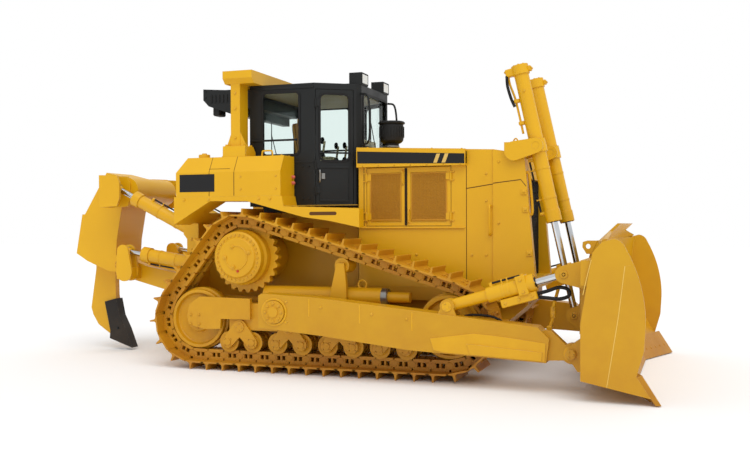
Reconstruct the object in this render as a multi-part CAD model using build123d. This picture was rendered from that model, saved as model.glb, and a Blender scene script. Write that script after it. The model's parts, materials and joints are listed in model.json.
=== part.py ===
"""Crawler bulldozer with a semi-U blade, an enclosed cab and a single-shank ripper.

Units are millimetres. +X points forward, +Y to the machine's left, +Z up.
The origin lies on the ground, at the middle of the overall length and width.
"""
import os
from math import atan2, cos, hypot, pi, sin

from build123d import *

# Running clearances
PIN_FIT = 0.3
SEAT_GAP = 0.3
SIDE_GAP = 6.0
PANEL_GAP = 6.0

# Crawler tracks
TRACK_GAUGE = 2080.0
SHOE_WIDTH = 560.0
SHOE_COUNT = 44
SHOE_PLATE = 20.0
GROUSER_HEIGHT = 78.0
GROUSER_ROOT = 36.0
GROUSER_TIP = 18.0
LINK_HALF_DEPTH = 65.0
LINK_INNER = 62.0
LINK_OUTER = 128.0
NOMINAL_PITCH = 216.0

# Wheels of the crawler undercarriage
SPROCKET_X = -890.0
SPROCKET_Z = 1350.0
SPROCKET_PITCH_RADIUS = 434.0
SPROCKET_TEETH = 25
SPROCKET_TIP_RADIUS = 428.0
SPROCKET_ROOT_RADIUS = 388.0
SPROCKET_WIDTH = 90.0
IDLER_FRONT_X = 1660.0
IDLER_REAR_X = -1500.0
IDLER_RADIUS = 355.0
IDLER_FLANGE = 24.0
IDLER_AXLE_RADIUS = 62.0
ROLLER_RADIUS = 105.0
ROLLER_FLANGE = 20.0
ROLLER_AXLE_RADIUS = 36.0
ROLLER_RIM = 12.0
ROLLER_FACETS = 20
AXLE_FACETS = 12
IDLER_FACETS = 44
IDLER_RIM = 50.0
IDLER_DISH = 60.0
IDLER_HUB_RADIUS = 160.0
BOGIE_X = (-910.0, -270.0, 370.0, 1010.0)
BOGIE_HALF_SPAN = 158.0
BOGIE_PIVOT_RADIUS = 85.0
CARRIER_X = 380.0
CARRIER_RADIUS = 90.0

# Track roller frame
FRAME_HALF_WIDTH = 150.0
FRAME_BOTTOM = 480.0
FRAME_TOP = 800.0
FRAME_REAR_X = -1060.0
FRAME_FRONT_X = 1230.0
FORK_PLATE = 50.0
RECOIL_RADIUS = 105.0
RECOIL_REAR_X = -640.0
RECOIL_FRONT_X = 840.0
BOGIE_PLATE = 32.0

# Final drive
FINAL_DRIVE_INNER_Y = 450.0
FINAL_DRIVE_OUTER_Y = 1330.0
FINAL_DRIVE_RADIUS = 330.0
FINAL_DRIVE_COVER_RADIUS = 307.0

# Main case and frame
CASE_HALF_WIDTH = 450.0
CASE_REAR_X = -1750.0
CASE_FRONT_X = 2400.0
CASE_BOTTOM = 520.0
CASE_TOP = 1890.0
FRAME_RAIL_TOP = 1000.0
HOOD_HALF_WIDTH = 600.0
PIVOT_SHAFT_RADIUS = 85.0
PIVOT_SHAFT_X = -430.0
PIVOT_SHAFT_Z = 705.0
EQUALIZER_X = 700.0
EQUALIZER_RADIUS = 70.0

# Hood and nose
HOOD_REAR_X = 384.0
NOSE_REAR_X = 2030.0
NOSE_TOP_X = 2387.0
NOSE_TOP_Z = 2533.0
NOSE_CHIN_X = 2525.0
HOOD_TOP_REAR_Z = 2660.0
HOOD_TOP_FRONT_Z = 2596.0
HOOD_SKIN = 25.0
COWL_FRONT_X = 1720.0
COWL_HALF_WIDTH = 680.0
COWL_BOTTOM = 2420.0
DOOR_REAR_X = 490.0
DOOR_MIDDLE_X = 982.0
DOOR_FRONT_X = 1529.0
DOOR_BOTTOM = 1720.0
DOOR_TOP = 2412.0
DOOR_SKIN = 30.0
HINGE_RADIUS = 14.0
HINGE_PIN_RADIUS = 7.0
HINGE_HALF = 40.0
DOOR_HINGE_Z = (1830.0, 2300.0)
CAB_HINGE_Z = (2150.0, 2450.0, 3200.0)
ENGINE_REAR_X = 520.0
ENGINE_FRONT_X = 1750.0
ENGINE_HALF_WIDTH = 380.0
ENGINE_TOP = 2150.0

# Cab
CAB_REAR_X = -950.0
CAB_SIDE_FRONT_X = -90.0
CAB_NOSE_SIDE_X = 340.0
CAB_NOSE_X = 384.0
CAB_HALF_WIDTH = 848.0
CAB_NOSE_HALF_WIDTH = 554.0
CAB_FLOOR = 1960.0
CAB_BASE_HALF_WIDTH = 700.0
CAB_ROOF_BOTTOM = 3375.0
CAB_ROOF_TOP = 3440.0
CAB_WALL = 40.0
CAB_SILL = 2590.0
CAB_HEAD = 3335.0
CAB_DOOR_BOTTOM = 1975.0
CAB_DOOR_EDGE = 18.0
CAB_DOOR_FREE_EDGE = 42.0
CAB_DOOR_FRAME = 55.0
GLASS = 8.0

# Rollover bar, tanks and fenders
ROPS_FRONT_X = -964.0
ROPS_REAR_X = -1087.0
ROPS_INNER_Y = 870.0
ROPS_OUTER_Y = 1080.0
ROPS_TOP = 3590.0
ROPS_BAR_BOTTOM = 3440.0
TANK_REAR_X = -1750.0
TANK_FRONT_X = -350.0
TANK_INNER_Y = 860.0
TANK_OUTER_Y = 1250.0
TANK_BOTTOM = 2077.0
TANK_SHOULDER = 2370.0
TANK_TOP = 2556.0

# Blade lift
TRUNNION_X = -270.0
TRUNNION_Z = 750.0
ARM_INNER_Y = 1355.0
ARM_OUTER_Y = 1600.0
BLADE_PIN_X = 3037.0
BLADE_PIN_Z = 410.0
BLADE_PIN_Y = 1478.0
BLADE_PIN_RADIUS = 55.0
TONGUE_HALF = 55.0
LIFT_Y = 545.0
LIFT_PIVOT_X = 2530.0
LIFT_PIVOT_Z = 2617.0
LIFT_EYE_X = 2951.0
LIFT_EYE_Z = 713.0
LIFT_BARREL_RADIUS = 83.0
LIFT_ROD_RADIUS = 38.0
LIFT_ABOVE = 950.0
LIFT_BELOW = 872.0

# Blade
BLADE_HALF_WIDTH = 1970.0
END_PLATE = 32.0
WING_Y = 1130.0
WING_SWEEP = 300.0
WING_TOP_SWEEP = 150.0
MOLDBOARD_MIDDLE = (3165.0, 830.0)
MOLDBOARD_TOP = (3290.0, 1560.0)
MIDDLE_SWEEP = 0.92
FRONT_SPACE_X = 4100.0
FRONT_SPACE_LOW = 150.0
GUARD_HALF_WIDTH = 900.0
GUARD_END_Y = 1900.0
LUG_PLATE = 35.0
BLADE_RIBS = (-1050, -400, 0, 400, 1050)
MOLDBOARD_PLATE = 40.0
EDGE_TOP = (3400.0, 275.0)
EDGE_SLOPE = 0.66
EDGE_FOOT_Z = 12.0
EDGE_THICKNESS = 52.0
LIP_Z = 184.0
BLADE_BACK_X = 3175.0
LIFTING_EAR_Y = 1185.0
LIFTING_EAR = 30.0
LIFTING_HOLE_X = 3167.0
LIFTING_HOLE_Z = 1500.0
LIFTING_HOLE_RADIUS = 26.0

# Tilt cylinders between push arms and blade
TILT_Y = 1485.0
TILT_PIVOT_X = 1740.0
TILT_PIVOT_Z = 862.0
TILT_EYE_X = 2967.0
TILT_EYE_Z = 1221.0
TILT_BARREL_RADIUS = 82.0
TILT_ROD_RADIUS = 36.0
TILT_REAR_TUBE_RADIUS = 62.0
TILT_REAR_TUBE_LENGTH = 450.0
TILT_BARREL_END = 960.0

# Ripper
RIPPER_ARM_PIN_X = -1898.0
RIPPER_ARM_PIN_Z = 950.0
RIPPER_BEAM_PIN_X = -3110.0
RIPPER_BEAM_PIN_Z = 1205.0
RIPPER_TILT_PIN_X = -1885.0
RIPPER_TILT_PIN_Z = 1660.0
RIPPER_TILT_EYE_X = -3044.0
RIPPER_TILT_EYE_Z = 2232.0
RIPPER_LIFT_PIN_X = -1885.0
RIPPER_LIFT_PIN_Z = 1245.0
RIPPER_LIFT_EYE_X = -2910.0
RIPPER_LIFT_EYE_Z = 1397.0
RIPPER_CYLINDER_Y = 600.0
RIPPER_BARREL_RADIUS = 85.0
RIPPER_ROD_RADIUS = 36.0
RIPPER_PIN_RADIUS = 50.0
BEAM_HALF_WIDTH = 300.0
BEAM_WEB_X = -3185.0
ARM_SIDE_INNER = 310.0
ARM_SIDE_OUTER = 440.0
SHANK_HALF_THICKNESS = 45.0

TRACK_Y = TRACK_GAUGE / 2
GROUND_PIN_Z = GROUSER_HEIGHT + SHOE_PLATE + LINK_HALF_DEPTH
IDLER_PITCH_RADIUS = hypot(IDLER_RADIUS + LINK_HALF_DEPTH + 1.0, NOMINAL_PITCH / 2)
IDLER_Z = GROUND_PIN_Z + IDLER_PITCH_RADIUS
ROLLER_Z = GROUND_PIN_Z + LINK_HALF_DEPTH + ROLLER_RADIUS + 0.5
BOGIE_TOP = FRAME_BOTTOM + 40 + BOGIE_PIVOT_RADIUS + 6
CARRIER_GAP = 9.0
SIDES = (-1, 1)


def side_face(points):
    """Face in the X-Z plane from a list of (x, z) points."""
    return make_face(Polyline(*points, close=True))


def slab(face, y_low, y_high):
    """Extrude an X-Z face between two Y values."""
    plane = Plane(origin=(0, y_high, 0), x_dir=(1, 0, 0), z_dir=(0, -1, 0))
    return extrude(plane * face, amount=y_high - y_low)


def plate(points, y_low, y_high):
    """Plate with an X-Z outline between two Y values."""
    return slab(side_face(points), y_low, y_high)


def mirrored_slab(face, y_inner, y_outer, side):
    """X-Z face between two distances from the middle plane, on one side."""
    if side > 0:
        return slab(face, y_inner, y_outer)
    return slab(face, -y_outer, -y_inner)


def cross_section(points, x_low, x_high):
    """Solid with a Y-Z outline between two X values."""
    plane = Plane(origin=(x_low, 0, 0), x_dir=(0, 1, 0), z_dir=(1, 0, 0))
    return extrude(plane * make_face(Polyline(*points, close=True)), amount=x_high - x_low)


def block(x_low, x_high, y_low, y_high, z_low, z_high):
    """Axis-aligned block between corner values."""
    low = (Align.MIN, Align.MIN, Align.MIN)
    return Pos(x_low, y_low, z_low) * Box(x_high - x_low, y_high - y_low, z_high - z_low, align=low)


def bar(start, end, radius, inner=0.0):
    """Round bar or tube between two points."""
    start = Vector(*start)
    end = Vector(*end)
    section = Circle(radius)
    if inner > 0:
        section = section - Circle(inner)
    return extrude(Plane(origin=start, z_dir=end - start) * section, amount=(end - start).length)


def cross_bar(x, z, radius, y_low, y_high, inner=0.0):
    """Round bar or tube along Y."""
    return bar((x, y_low, z), (x, y_high, z), radius, inner)


def turned(points, x, z, side=1):
    """Solid of revolution about a Y axis through (x, z); points are (radius, y)."""
    plane = Plane(origin=(x, 0, z), x_dir=(1, 0, 0), z_dir=(0, 0, 1))
    profile = make_face(Polyline(*[(radius, side * y) for radius, y in points], close=True))
    axis = Axis((x, 0, z), (0, 1, 0))
    return revolve(plane * profile, axis=axis)


def rounded_hull(circles):
    """Face around a chain of (x, z, radius) circles: tapered links between each pair."""
    face = None
    for (x0, z0, r0), (x1, z1, r1) in zip(circles[:-1], circles[1:]):
        reach = hypot(x1 - x0, z1 - z0)
        heading = atan2(z1 - z0, x1 - x0)
        lean = atan2(((reach ** 2 - (r0 - r1) ** 2) ** 0.5), r0 - r1)
        corners = []
        for x, z, r, turn in ((x0, z0, r0, lean), (x1, z1, r1, lean), (x1, z1, r1, -lean), (x0, z0, r0, -lean)):
            corners.append((x + r * cos(heading + turn), z + r * sin(heading + turn)))
        web = side_face(corners)
        link = web + Pos(x0, z0) * Circle(r0) + Pos(x1, z1) * Circle(r1)
        face = link if face is None else face + link
    return face


def along(start, end, distance):
    """Point at a distance from start towards end, in the X-Z plane."""
    reach = hypot(end[0] - start[0], end[1] - start[1])
    share = distance / reach
    return (start[0] + (end[0] - start[0]) * share, start[1] + (end[1] - start[1]) * share)


def both(make):
    """The same piece on the right and on the left."""
    return [make(side) for side in SIDES]


# Crawler tracks

def track_wheels():
    """Pitch circles that the chain wraps, as (x, z, radius), counter-clockwise."""
    return (
        (IDLER_FRONT_X, IDLER_Z, IDLER_PITCH_RADIUS),
        (SPROCKET_X, SPROCKET_Z, SPROCKET_PITCH_RADIUS),
        (IDLER_REAR_X, IDLER_Z, IDLER_PITCH_RADIUS),
    )


def belt_segments():
    """Straight and round stretches of the belt around the wheels."""
    wheels = track_wheels()
    count = len(wheels)
    normals = []
    for index in range(count):
        x0, z0, r0 = wheels[index]
        x1, z1, r1 = wheels[(index + 1) % count]
        reach = hypot(x1 - x0, z1 - z0)
        heading = atan2(z1 - z0, x1 - x0)
        lean = (r0 - r1) / reach
        normals.append(heading - pi / 2 + atan2(lean, (1 - lean ** 2) ** 0.5))
    segments = []
    for index in range(count):
        x0, z0, r0 = wheels[index]
        x1, z1, r1 = wheels[(index + 1) % count]
        turn_in = normals[index - 1]
        turn_out = normals[index]
        while turn_out < turn_in:
            turn_out += 2 * pi
        segments.append(("arc", (x0, z0, r0), turn_in, turn_out))
        start = (x0 + r0 * cos(turn_out), z0 + r0 * sin(turn_out))
        end = (x1 + r1 * cos(turn_out), z1 + r1 * sin(turn_out))
        segments.append(("line", start, end, turn_out))
    return segments


def segment_length(segment):
    """Length of one belt stretch."""
    if segment[0] == "arc":
        return segment[1][2] * (segment[3] - segment[2])
    return hypot(segment[2][0] - segment[1][0], segment[2][1] - segment[1][1])


def chain_pins():
    """Chain pin centres, evenly spaced around the belt."""
    segments = belt_segments()
    pitch = sum(segment_length(segment) for segment in segments) / SHOE_COUNT
    pins = []
    distance = 0.0
    travelled = 0.0
    for segment in segments:
        length = segment_length(segment)
        while distance < travelled + length and len(pins) < SHOE_COUNT:
            share = (distance - travelled) / length
            if segment[0] == "arc":
                x, z, radius = segment[1]
                turn = segment[2] + (segment[3] - segment[2]) * share
                pins.append((x + radius * cos(turn), z + radius * sin(turn)))
            else:
                (x0, z0), (x1, z1) = segment[1], segment[2]
                pins.append((x0 + (x1 - x0) * share, z0 + (z1 - z0) * share))
            distance += pitch
        travelled += length
    return pins


def chain_frame(pins, index):
    """Start pin, heading vector, outward normal and pitch of one link."""
    x0, z0 = pins[index]
    x1, z1 = pins[(index + 1) % len(pins)]
    pitch = hypot(x1 - x0, z1 - z0)
    heading = ((x1 - x0) / pitch, (z1 - z0) / pitch)
    normal = (heading[1], -heading[0])
    return (x0, z0), heading, normal, pitch


def offset_chain(pins, offset):
    """Chain polygon moved outwards by an offset, mitred at the pins."""
    points = []
    for index in range(len(pins)):
        start, heading, normal, _ = chain_frame(pins, index)
        _, _, before, _ = chain_frame(pins, index - 1)
        middle = (normal[0] + before[0], normal[1] + before[1])
        scale = 2 * offset / (middle[0] ** 2 + middle[1] ** 2)
        points.append((start[0] + middle[0] * scale, start[1] + middle[1] * scale))
    return points


def shoe_outline(pins):
    """Outer line of the shoes: flat plates, each with one grouser bar."""
    points = []
    plate_top = LINK_HALF_DEPTH + SHOE_PLATE
    tip = plate_top + GROUSER_HEIGHT
    for index in range(len(pins)):
        start, heading, normal, pitch = chain_frame(pins, index)
        middle = pitch * 0.30
        profile = (
            (middle - GROUSER_ROOT / 2, plate_top),
            (middle - GROUSER_TIP / 2, tip),
            (middle + GROUSER_TIP / 2, tip),
            (middle + GROUSER_ROOT / 2, plate_top),
            (pitch * 0.98, plate_top),
        )
        for run, rise in profile:
            x = start[0] + heading[0] * run + normal[0] * rise
            z = start[1] + heading[1] * run + normal[1] * rise
            points.append((x, z))
    return points


def make_track(side):
    """One closed chain: shoes with grousers and two rows of links."""
    pins = chain_pins()
    centre = side * TRACK_Y
    shoes = side_face(shoe_outline(pins)) - side_face(offset_chain(pins, LINK_HALF_DEPTH))
    links = side_face(offset_chain(pins, LINK_HALF_DEPTH)) - side_face(offset_chain(pins, -LINK_HALF_DEPTH))
    track = slab(shoes, centre - SHOE_WIDTH / 2, centre + SHOE_WIDTH / 2)
    track += slab(links, centre - LINK_OUTER, centre - LINK_INNER)
    track += slab(links, centre + LINK_INNER, centre + LINK_OUTER)
    return track


# Undercarriage

def make_sprocket(side):
    """Toothed ring bolted around the final drive."""
    points = []
    step = 2 * pi / SPROCKET_TEETH
    for tooth in range(SPROCKET_TEETH):
        middle = tooth * step
        for radius, turn in (
            (SPROCKET_ROOT_RADIUS, -0.42),
            (SPROCKET_TIP_RADIUS, -0.14),
            (SPROCKET_TIP_RADIUS, 0.14),
            (SPROCKET_ROOT_RADIUS, 0.42),
        ):
            angle = middle + turn * step
            points.append((SPROCKET_X + radius * cos(angle), SPROCKET_Z + radius * sin(angle)))
    bore = Pos(SPROCKET_X, SPROCKET_Z) * Circle(FINAL_DRIVE_RADIUS + SEAT_GAP)
    face = side_face(points) - bore
    centre = side * TRACK_Y
    return slab(face, centre - SPROCKET_WIDTH / 2, centre + SPROCKET_WIDTH / 2)


def make_final_drive(side):
    """Final drive housing with its stepped outer cover."""
    inner = FINAL_DRIVE_INNER_Y
    outer = FINAL_DRIVE_OUTER_Y
    shoulder = TRACK_Y + SPROCKET_WIDTH / 2 + 95
    points = [
        (0, inner),
        (250, inner),
        (250, inner + 60),
        (300, inner + 90),
        (300, TRACK_Y - 150),
        (FINAL_DRIVE_RADIUS, TRACK_Y - 110),
        (FINAL_DRIVE_RADIUS, shoulder),
        (FINAL_DRIVE_COVER_RADIUS, shoulder + 30),
        (FINAL_DRIVE_COVER_RADIUS, outer - 34),
        (FINAL_DRIVE_COVER_RADIUS - 22, outer - 22),
        (FINAL_DRIVE_COVER_RADIUS - 62, outer - 22),
        (FINAL_DRIVE_COVER_RADIUS - 78, outer),
        (0, outer),
    ]
    return turned(points, SPROCKET_X, SPROCKET_Z, side)


def facet_prism(x, z, radius, y_low, y_high, facets):
    """Many-sided disc on a Y axis: wheels that repeat keep few faces."""
    return slab(Pos(x, z) * RegularPolygon(radius, facets), y_low, y_high)


def make_idler(x, side):
    """Track idler: tread with a centre flange, dished web and axle."""
    centre = side * TRACK_Y
    flange = LINK_INNER - 10
    wheel = facet_prism(x, IDLER_Z, IDLER_RADIUS, centre - LINK_OUTER, centre + LINK_OUTER, IDLER_FACETS)
    wheel += facet_prism(x, IDLER_Z, IDLER_RADIUS + IDLER_FLANGE, centre - flange, centre + flange, IDLER_FACETS)
    dish = Pos(x, IDLER_Z) * RegularPolygon(IDLER_RADIUS - IDLER_RIM, IDLER_FACETS)
    dish -= Pos(x, IDLER_Z) * RegularPolygon(IDLER_HUB_RADIUS, ROLLER_FACETS)
    web = LINK_OUTER - IDLER_DISH
    wheel -= slab(dish, centre - LINK_OUTER, centre - web)
    wheel -= slab(dish, centre + web, centre + LINK_OUTER)
    hub = FRAME_HALF_WIDTH
    return wheel + facet_prism(x, IDLER_Z, IDLER_AXLE_RADIUS, centre - hub, centre + hub, ROLLER_FACETS)


def make_roller(x, side):
    """Track roller with end flanges on its own axle."""
    centre = side * TRACK_Y
    tread = LINK_OUTER + 4
    rim = ROLLER_RADIUS + ROLLER_FLANGE
    roller = facet_prism(x, ROLLER_Z, ROLLER_RADIUS, centre - tread, centre + tread, ROLLER_FACETS)
    for low in (centre - tread - ROLLER_RIM, centre + tread):
        roller += facet_prism(x, ROLLER_Z, rim, low, low + ROLLER_RIM, ROLLER_FACETS)
    hub = FRAME_HALF_WIDTH
    return roller + facet_prism(x, ROLLER_Z, ROLLER_AXLE_RADIUS, centre - hub, centre + hub, AXLE_FACETS)


def roller_places():
    """X positions of the track rollers."""
    places = []
    for centre in BOGIE_X:
        places += [centre - BOGIE_HALF_SPAN, centre + BOGIE_HALF_SPAN]
    return places


def make_rollers():
    """All track rollers of both sides."""
    return [make_roller(x, side) for side in SIDES for x in roller_places()]


def make_bogies():
    """Rocker plates that hold each pair of rollers against the frame."""
    pieces = []
    for side in SIDES:
        for centre in BOGIE_X:
            circles = [
                (centre - BOGIE_HALF_SPAN, ROLLER_Z, 70),
                (centre, FRAME_BOTTOM + 40, BOGIE_PIVOT_RADIUS),
                (centre + BOGIE_HALF_SPAN, ROLLER_Z, 70),
            ]
            face = rounded_hull(circles)
            for y in (TRACK_Y - FRAME_HALF_WIDTH - BOGIE_PLATE, TRACK_Y + FRAME_HALF_WIDTH):
                pieces.append(mirrored_slab(face, y, y + BOGIE_PLATE, side))
    return pieces


def make_track_frame(side):
    """Roller frame: box beam, idler forks, recoil tube and carrier bracket."""
    inner = TRACK_Y - FRAME_HALF_WIDTH
    outer = TRACK_Y + FRAME_HALF_WIDTH
    frame = mirrored_slab(
        side_face([
            (FRAME_REAR_X, FRAME_BOTTOM),
            (FRAME_FRONT_X, FRAME_BOTTOM),
            (FRAME_FRONT_X, FRAME_TOP - 60),
            (RECOIL_FRONT_X + 60, FRAME_TOP),
            (FRAME_REAR_X, FRAME_TOP),
        ]), inner, outer, side)
    rear_fork = side_face([
        (IDLER_REAR_X - 110, IDLER_Z + 40),
        (IDLER_REAR_X - 80, IDLER_Z + 180),
        (IDLER_REAR_X + 60, IDLER_Z + 275),
        (FRAME_REAR_X + 300, FRAME_TOP + 60),
        (FRAME_REAR_X + 300, BOGIE_TOP),
        (FRAME_REAR_X - 90, BOGIE_TOP),
        (FRAME_REAR_X - 100, FRAME_BOTTOM + 10),
        (IDLER_REAR_X + 140, FRAME_BOTTOM),
        (IDLER_REAR_X, IDLER_Z - 90),
        (IDLER_REAR_X - 90, IDLER_Z - 60),
    ])
    front_fork = side_face([
        (FRAME_FRONT_X - 350, BOGIE_TOP),
        (FRAME_FRONT_X + 20, BOGIE_TOP),
        (FRAME_FRONT_X + 30, FRAME_BOTTOM),
        (IDLER_FRONT_X, IDLER_Z - 100),
        (IDLER_FRONT_X + 100, IDLER_Z - 50),
        (IDLER_FRONT_X + 100, IDLER_Z + 60),
        (IDLER_FRONT_X, IDLER_Z + 120),
        (FRAME_FRONT_X - 350, FRAME_TOP - 40),
    ])
    for face in (rear_fork, front_fork):
        for y in (inner - FORK_PLATE, outer):
            frame += mirrored_slab(face, y, y + FORK_PLATE, side)
    recoil_z = FRAME_TOP + RECOIL_RADIUS
    frame += cross_tube_x(RECOIL_REAR_X, RECOIL_FRONT_X, side * TRACK_Y, recoil_z, RECOIL_RADIUS)
    frame += mirrored_slab(
        side_face([
            (RECOIL_REAR_X, FRAME_TOP - 10),
            (RECOIL_FRONT_X, FRAME_TOP - 10),
            (RECOIL_FRONT_X, recoil_z),
            (RECOIL_REAR_X, recoil_z),
        ]), TRACK_Y - 60, TRACK_Y + 60, side)
    frame += bar((RECOIL_FRONT_X, side * TRACK_Y, recoil_z),
                 (RECOIL_FRONT_X + 330, side * TRACK_Y, recoil_z), 60)
    carrier = belt_height(CARRIER_X) - LINK_HALF_DEPTH - CARRIER_RADIUS - CARRIER_GAP
    bracket = side_face([
        (CARRIER_X - 150, FRAME_TOP),
        (CARRIER_X + 70, FRAME_TOP),
        (CARRIER_X + 70, recoil_z + 150),
        (CARRIER_X + 45, carrier + 30),
        (CARRIER_X - 45, carrier + 30),
        (CARRIER_X - 100, recoil_z + 150),
    ])
    frame += mirrored_slab(bracket, outer - 30, outer + 20, side)
    frame += cross_bar(CARRIER_X, carrier, 40, *sorted((side * (outer - 30), side * (TRACK_Y - LINK_OUTER))))
    return frame


def cross_tube_x(x_low, x_high, y, z, radius):
    """Round bar along X."""
    return bar((x_low, y, z), (x_high, y, z), radius)


def belt_height(x):
    """Height of the chain pins on the upper run at one X."""
    for segment in belt_segments():
        if segment[0] == "line":
            (x0, z0), (x1, z1) = segment[1], segment[2]
            if x0 > x > x1 and min(z0, z1) > IDLER_Z:
                return z0 + (z1 - z0) * (x - x0) / (x1 - x0)
    return SPROCKET_Z


def make_carriers():
    """Carrier rollers under the upper run, one each side."""
    carrier = belt_height(CARRIER_X) - LINK_HALF_DEPTH - CARRIER_RADIUS - CARRIER_GAP
    pieces = []
    for side in SIDES:
        low, high = sorted((side * (TRACK_Y - LINK_OUTER), side * (TRACK_Y + FRAME_HALF_WIDTH - 30)))
        wheel = cross_bar(CARRIER_X, carrier, CARRIER_RADIUS, low, high, inner=40 + PIN_FIT)
        pieces.append(wheel)
    return pieces


# Main structure

def make_main_case():
    """Transmission case and engine frame with the pivot shaft through it."""
    case = plate([
        (CASE_REAR_X, 760),
        (CASE_REAR_X + 180, CASE_BOTTOM),
        (2080, CASE_BOTTOM),
        (CASE_FRONT_X, 800),
        (CASE_FRONT_X, FRAME_RAIL_TOP),
        (HOOD_REAR_X - 60, FRAME_RAIL_TOP),
        (HOOD_REAR_X - 60, CASE_TOP),
        (CASE_REAR_X, CASE_TOP),
    ], -CASE_HALF_WIDTH, CASE_HALF_WIDTH)
    case += plate([
        (HOOD_REAR_X - 60, FRAME_RAIL_TOP - 160),
        (CASE_FRONT_X, FRAME_RAIL_TOP - 160),
        (CASE_FRONT_X, FRAME_RAIL_TOP),
        (HOOD_REAR_X - 60, FRAME_RAIL_TOP),
    ], -HOOD_HALF_WIDTH, HOOD_HALF_WIDTH)
    inner = TRACK_Y - FRAME_HALF_WIDTH
    case += cross_bar(PIVOT_SHAFT_X, PIVOT_SHAFT_Z, PIVOT_SHAFT_RADIUS, -inner, inner)
    case += cross_bar(EQUALIZER_X, PIVOT_SHAFT_Z, EQUALIZER_RADIUS, -inner, inner)
    return case


def make_engine():
    """Engine as one plain block on the frame rails."""
    return block(ENGINE_REAR_X, ENGINE_FRONT_X, -ENGINE_HALF_WIDTH, ENGINE_HALF_WIDTH,
                 FRAME_RAIL_TOP, ENGINE_TOP)


def make_hood():
    """Hood: cowl over the engine and two fixed side walls with door openings."""
    top = plate([
        (HOOD_REAR_X, COWL_BOTTOM),
        (COWL_FRONT_X, COWL_BOTTOM),
        (COWL_FRONT_X, hood_top(COWL_FRONT_X)),
        (HOOD_REAR_X, HOOD_TOP_REAR_Z),
    ], -COWL_HALF_WIDTH, COWL_HALF_WIDTH)
    top -= plate([
        (HOOD_REAR_X + HOOD_SKIN, COWL_BOTTOM - 10),
        (COWL_FRONT_X + 10, COWL_BOTTOM - 10),
        (COWL_FRONT_X + 10, hood_top(COWL_FRONT_X) - HOOD_SKIN),
        (HOOD_REAR_X + HOOD_SKIN, HOOD_TOP_REAR_Z - HOOD_SKIN),
    ], -COWL_HALF_WIDTH + HOOD_SKIN, COWL_HALF_WIDTH - HOOD_SKIN)
    front = plate([
        (COWL_FRONT_X, COWL_BOTTOM),
        (NOSE_REAR_X, COWL_BOTTOM),
        (NOSE_REAR_X, HOOD_TOP_FRONT_Z),
        (COWL_FRONT_X, hood_top(COWL_FRONT_X)),
    ], -HOOD_HALF_WIDTH, HOOD_HALF_WIDTH)
    front -= plate([
        (COWL_FRONT_X - 10, COWL_BOTTOM - 10),
        (NOSE_REAR_X + 10, COWL_BOTTOM - 10),
        (NOSE_REAR_X + 10, HOOD_TOP_FRONT_Z - HOOD_SKIN),
        (COWL_FRONT_X - 10, hood_top(COWL_FRONT_X) - HOOD_SKIN),
    ], -HOOD_HALF_WIDTH + HOOD_SKIN, HOOD_HALF_WIDTH - HOOD_SKIN)
    hood = top + front
    wall = side_face([
        (HOOD_REAR_X, FRAME_RAIL_TOP),
        (NOSE_REAR_X, FRAME_RAIL_TOP),
        (NOSE_REAR_X, COWL_BOTTOM),
        (HOOD_REAR_X, COWL_BOTTOM),
    ])
    wall -= side_face([
        (DOOR_REAR_X - PANEL_GAP, DOOR_BOTTOM - PANEL_GAP),
        (DOOR_FRONT_X + PANEL_GAP, DOOR_BOTTOM - PANEL_GAP),
        (DOOR_FRONT_X + PANEL_GAP, COWL_BOTTOM),
        (DOOR_REAR_X - PANEL_GAP, COWL_BOTTOM),
    ])
    for side in SIDES:
        hood += mirrored_slab(wall, HOOD_HALF_WIDTH - DOOR_SKIN, HOOD_HALF_WIDTH, side)
    for side in SIDES:
        hood += hinge_on_frame(hinge_axis_x(DOOR_REAR_X, 1), 1, HOOD_HALF_WIDTH, side, DOOR_HINGE_Z)
        hood += hinge_on_frame(hinge_axis_x(DOOR_FRONT_X, -1), -1, HOOD_HALF_WIDTH, side, DOOR_HINGE_Z)
        shelf = block(HOOD_REAR_X, COWL_FRONT_X, HOOD_HALF_WIDTH - DOOR_SKIN, COWL_HALF_WIDTH - 5,
                      COWL_BOTTOM, COWL_BOTTOM + 20)
        hood += shelf if side > 0 else mirror(shelf, about=Plane.XZ)
    return hood


def hood_top(x):
    """Height of the sloping hood top at one X."""
    slope = (HOOD_TOP_FRONT_Z - HOOD_TOP_REAR_Z) / (NOSE_REAR_X - HOOD_REAR_X)
    return HOOD_TOP_REAR_Z + slope * (x - HOOD_REAR_X)


def make_nose():
    """Radiator guard with its recessed front."""
    nose = plate([
        (NOSE_REAR_X, FRAME_RAIL_TOP),
        (NOSE_CHIN_X, FRAME_RAIL_TOP),
        (NOSE_TOP_X + 25, 2312),
        (NOSE_TOP_X, NOSE_TOP_Z),
        (NOSE_REAR_X, HOOD_TOP_FRONT_Z),
    ], -HOOD_HALF_WIDTH - 18, HOOD_HALF_WIDTH + 18)
    recess = plate([
        (NOSE_TOP_X - 60, FRAME_RAIL_TOP + 120),
        (NOSE_CHIN_X + 40, FRAME_RAIL_TOP + 120),
        (NOSE_CHIN_X + 40, 2260),
        (NOSE_TOP_X - 60, 2260),
    ], -HOOD_HALF_WIDTH + 90, HOOD_HALF_WIDTH - 90)
    return nose - recess


def make_grille():
    """Vertical louvre bars in the radiator guard."""
    low = FRAME_RAIL_TOP + 120
    high = 2260
    half = HOOD_HALF_WIDTH - 90
    back = NOSE_TOP_X - 60
    grille = block(back, back + 16, -half, half, low, high)
    count = 13
    for index in range(count):
        y = -half + (index + 0.5) * 2 * half / count
        grille += block(back, back + 46, y - 9, y + 9, low, high)
    return grille


def hinge_axis_x(edge, towards_door):
    """X of a door hinge: in the gap beside the door edge."""
    return edge - towards_door * PANEL_GAP / 2


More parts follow.
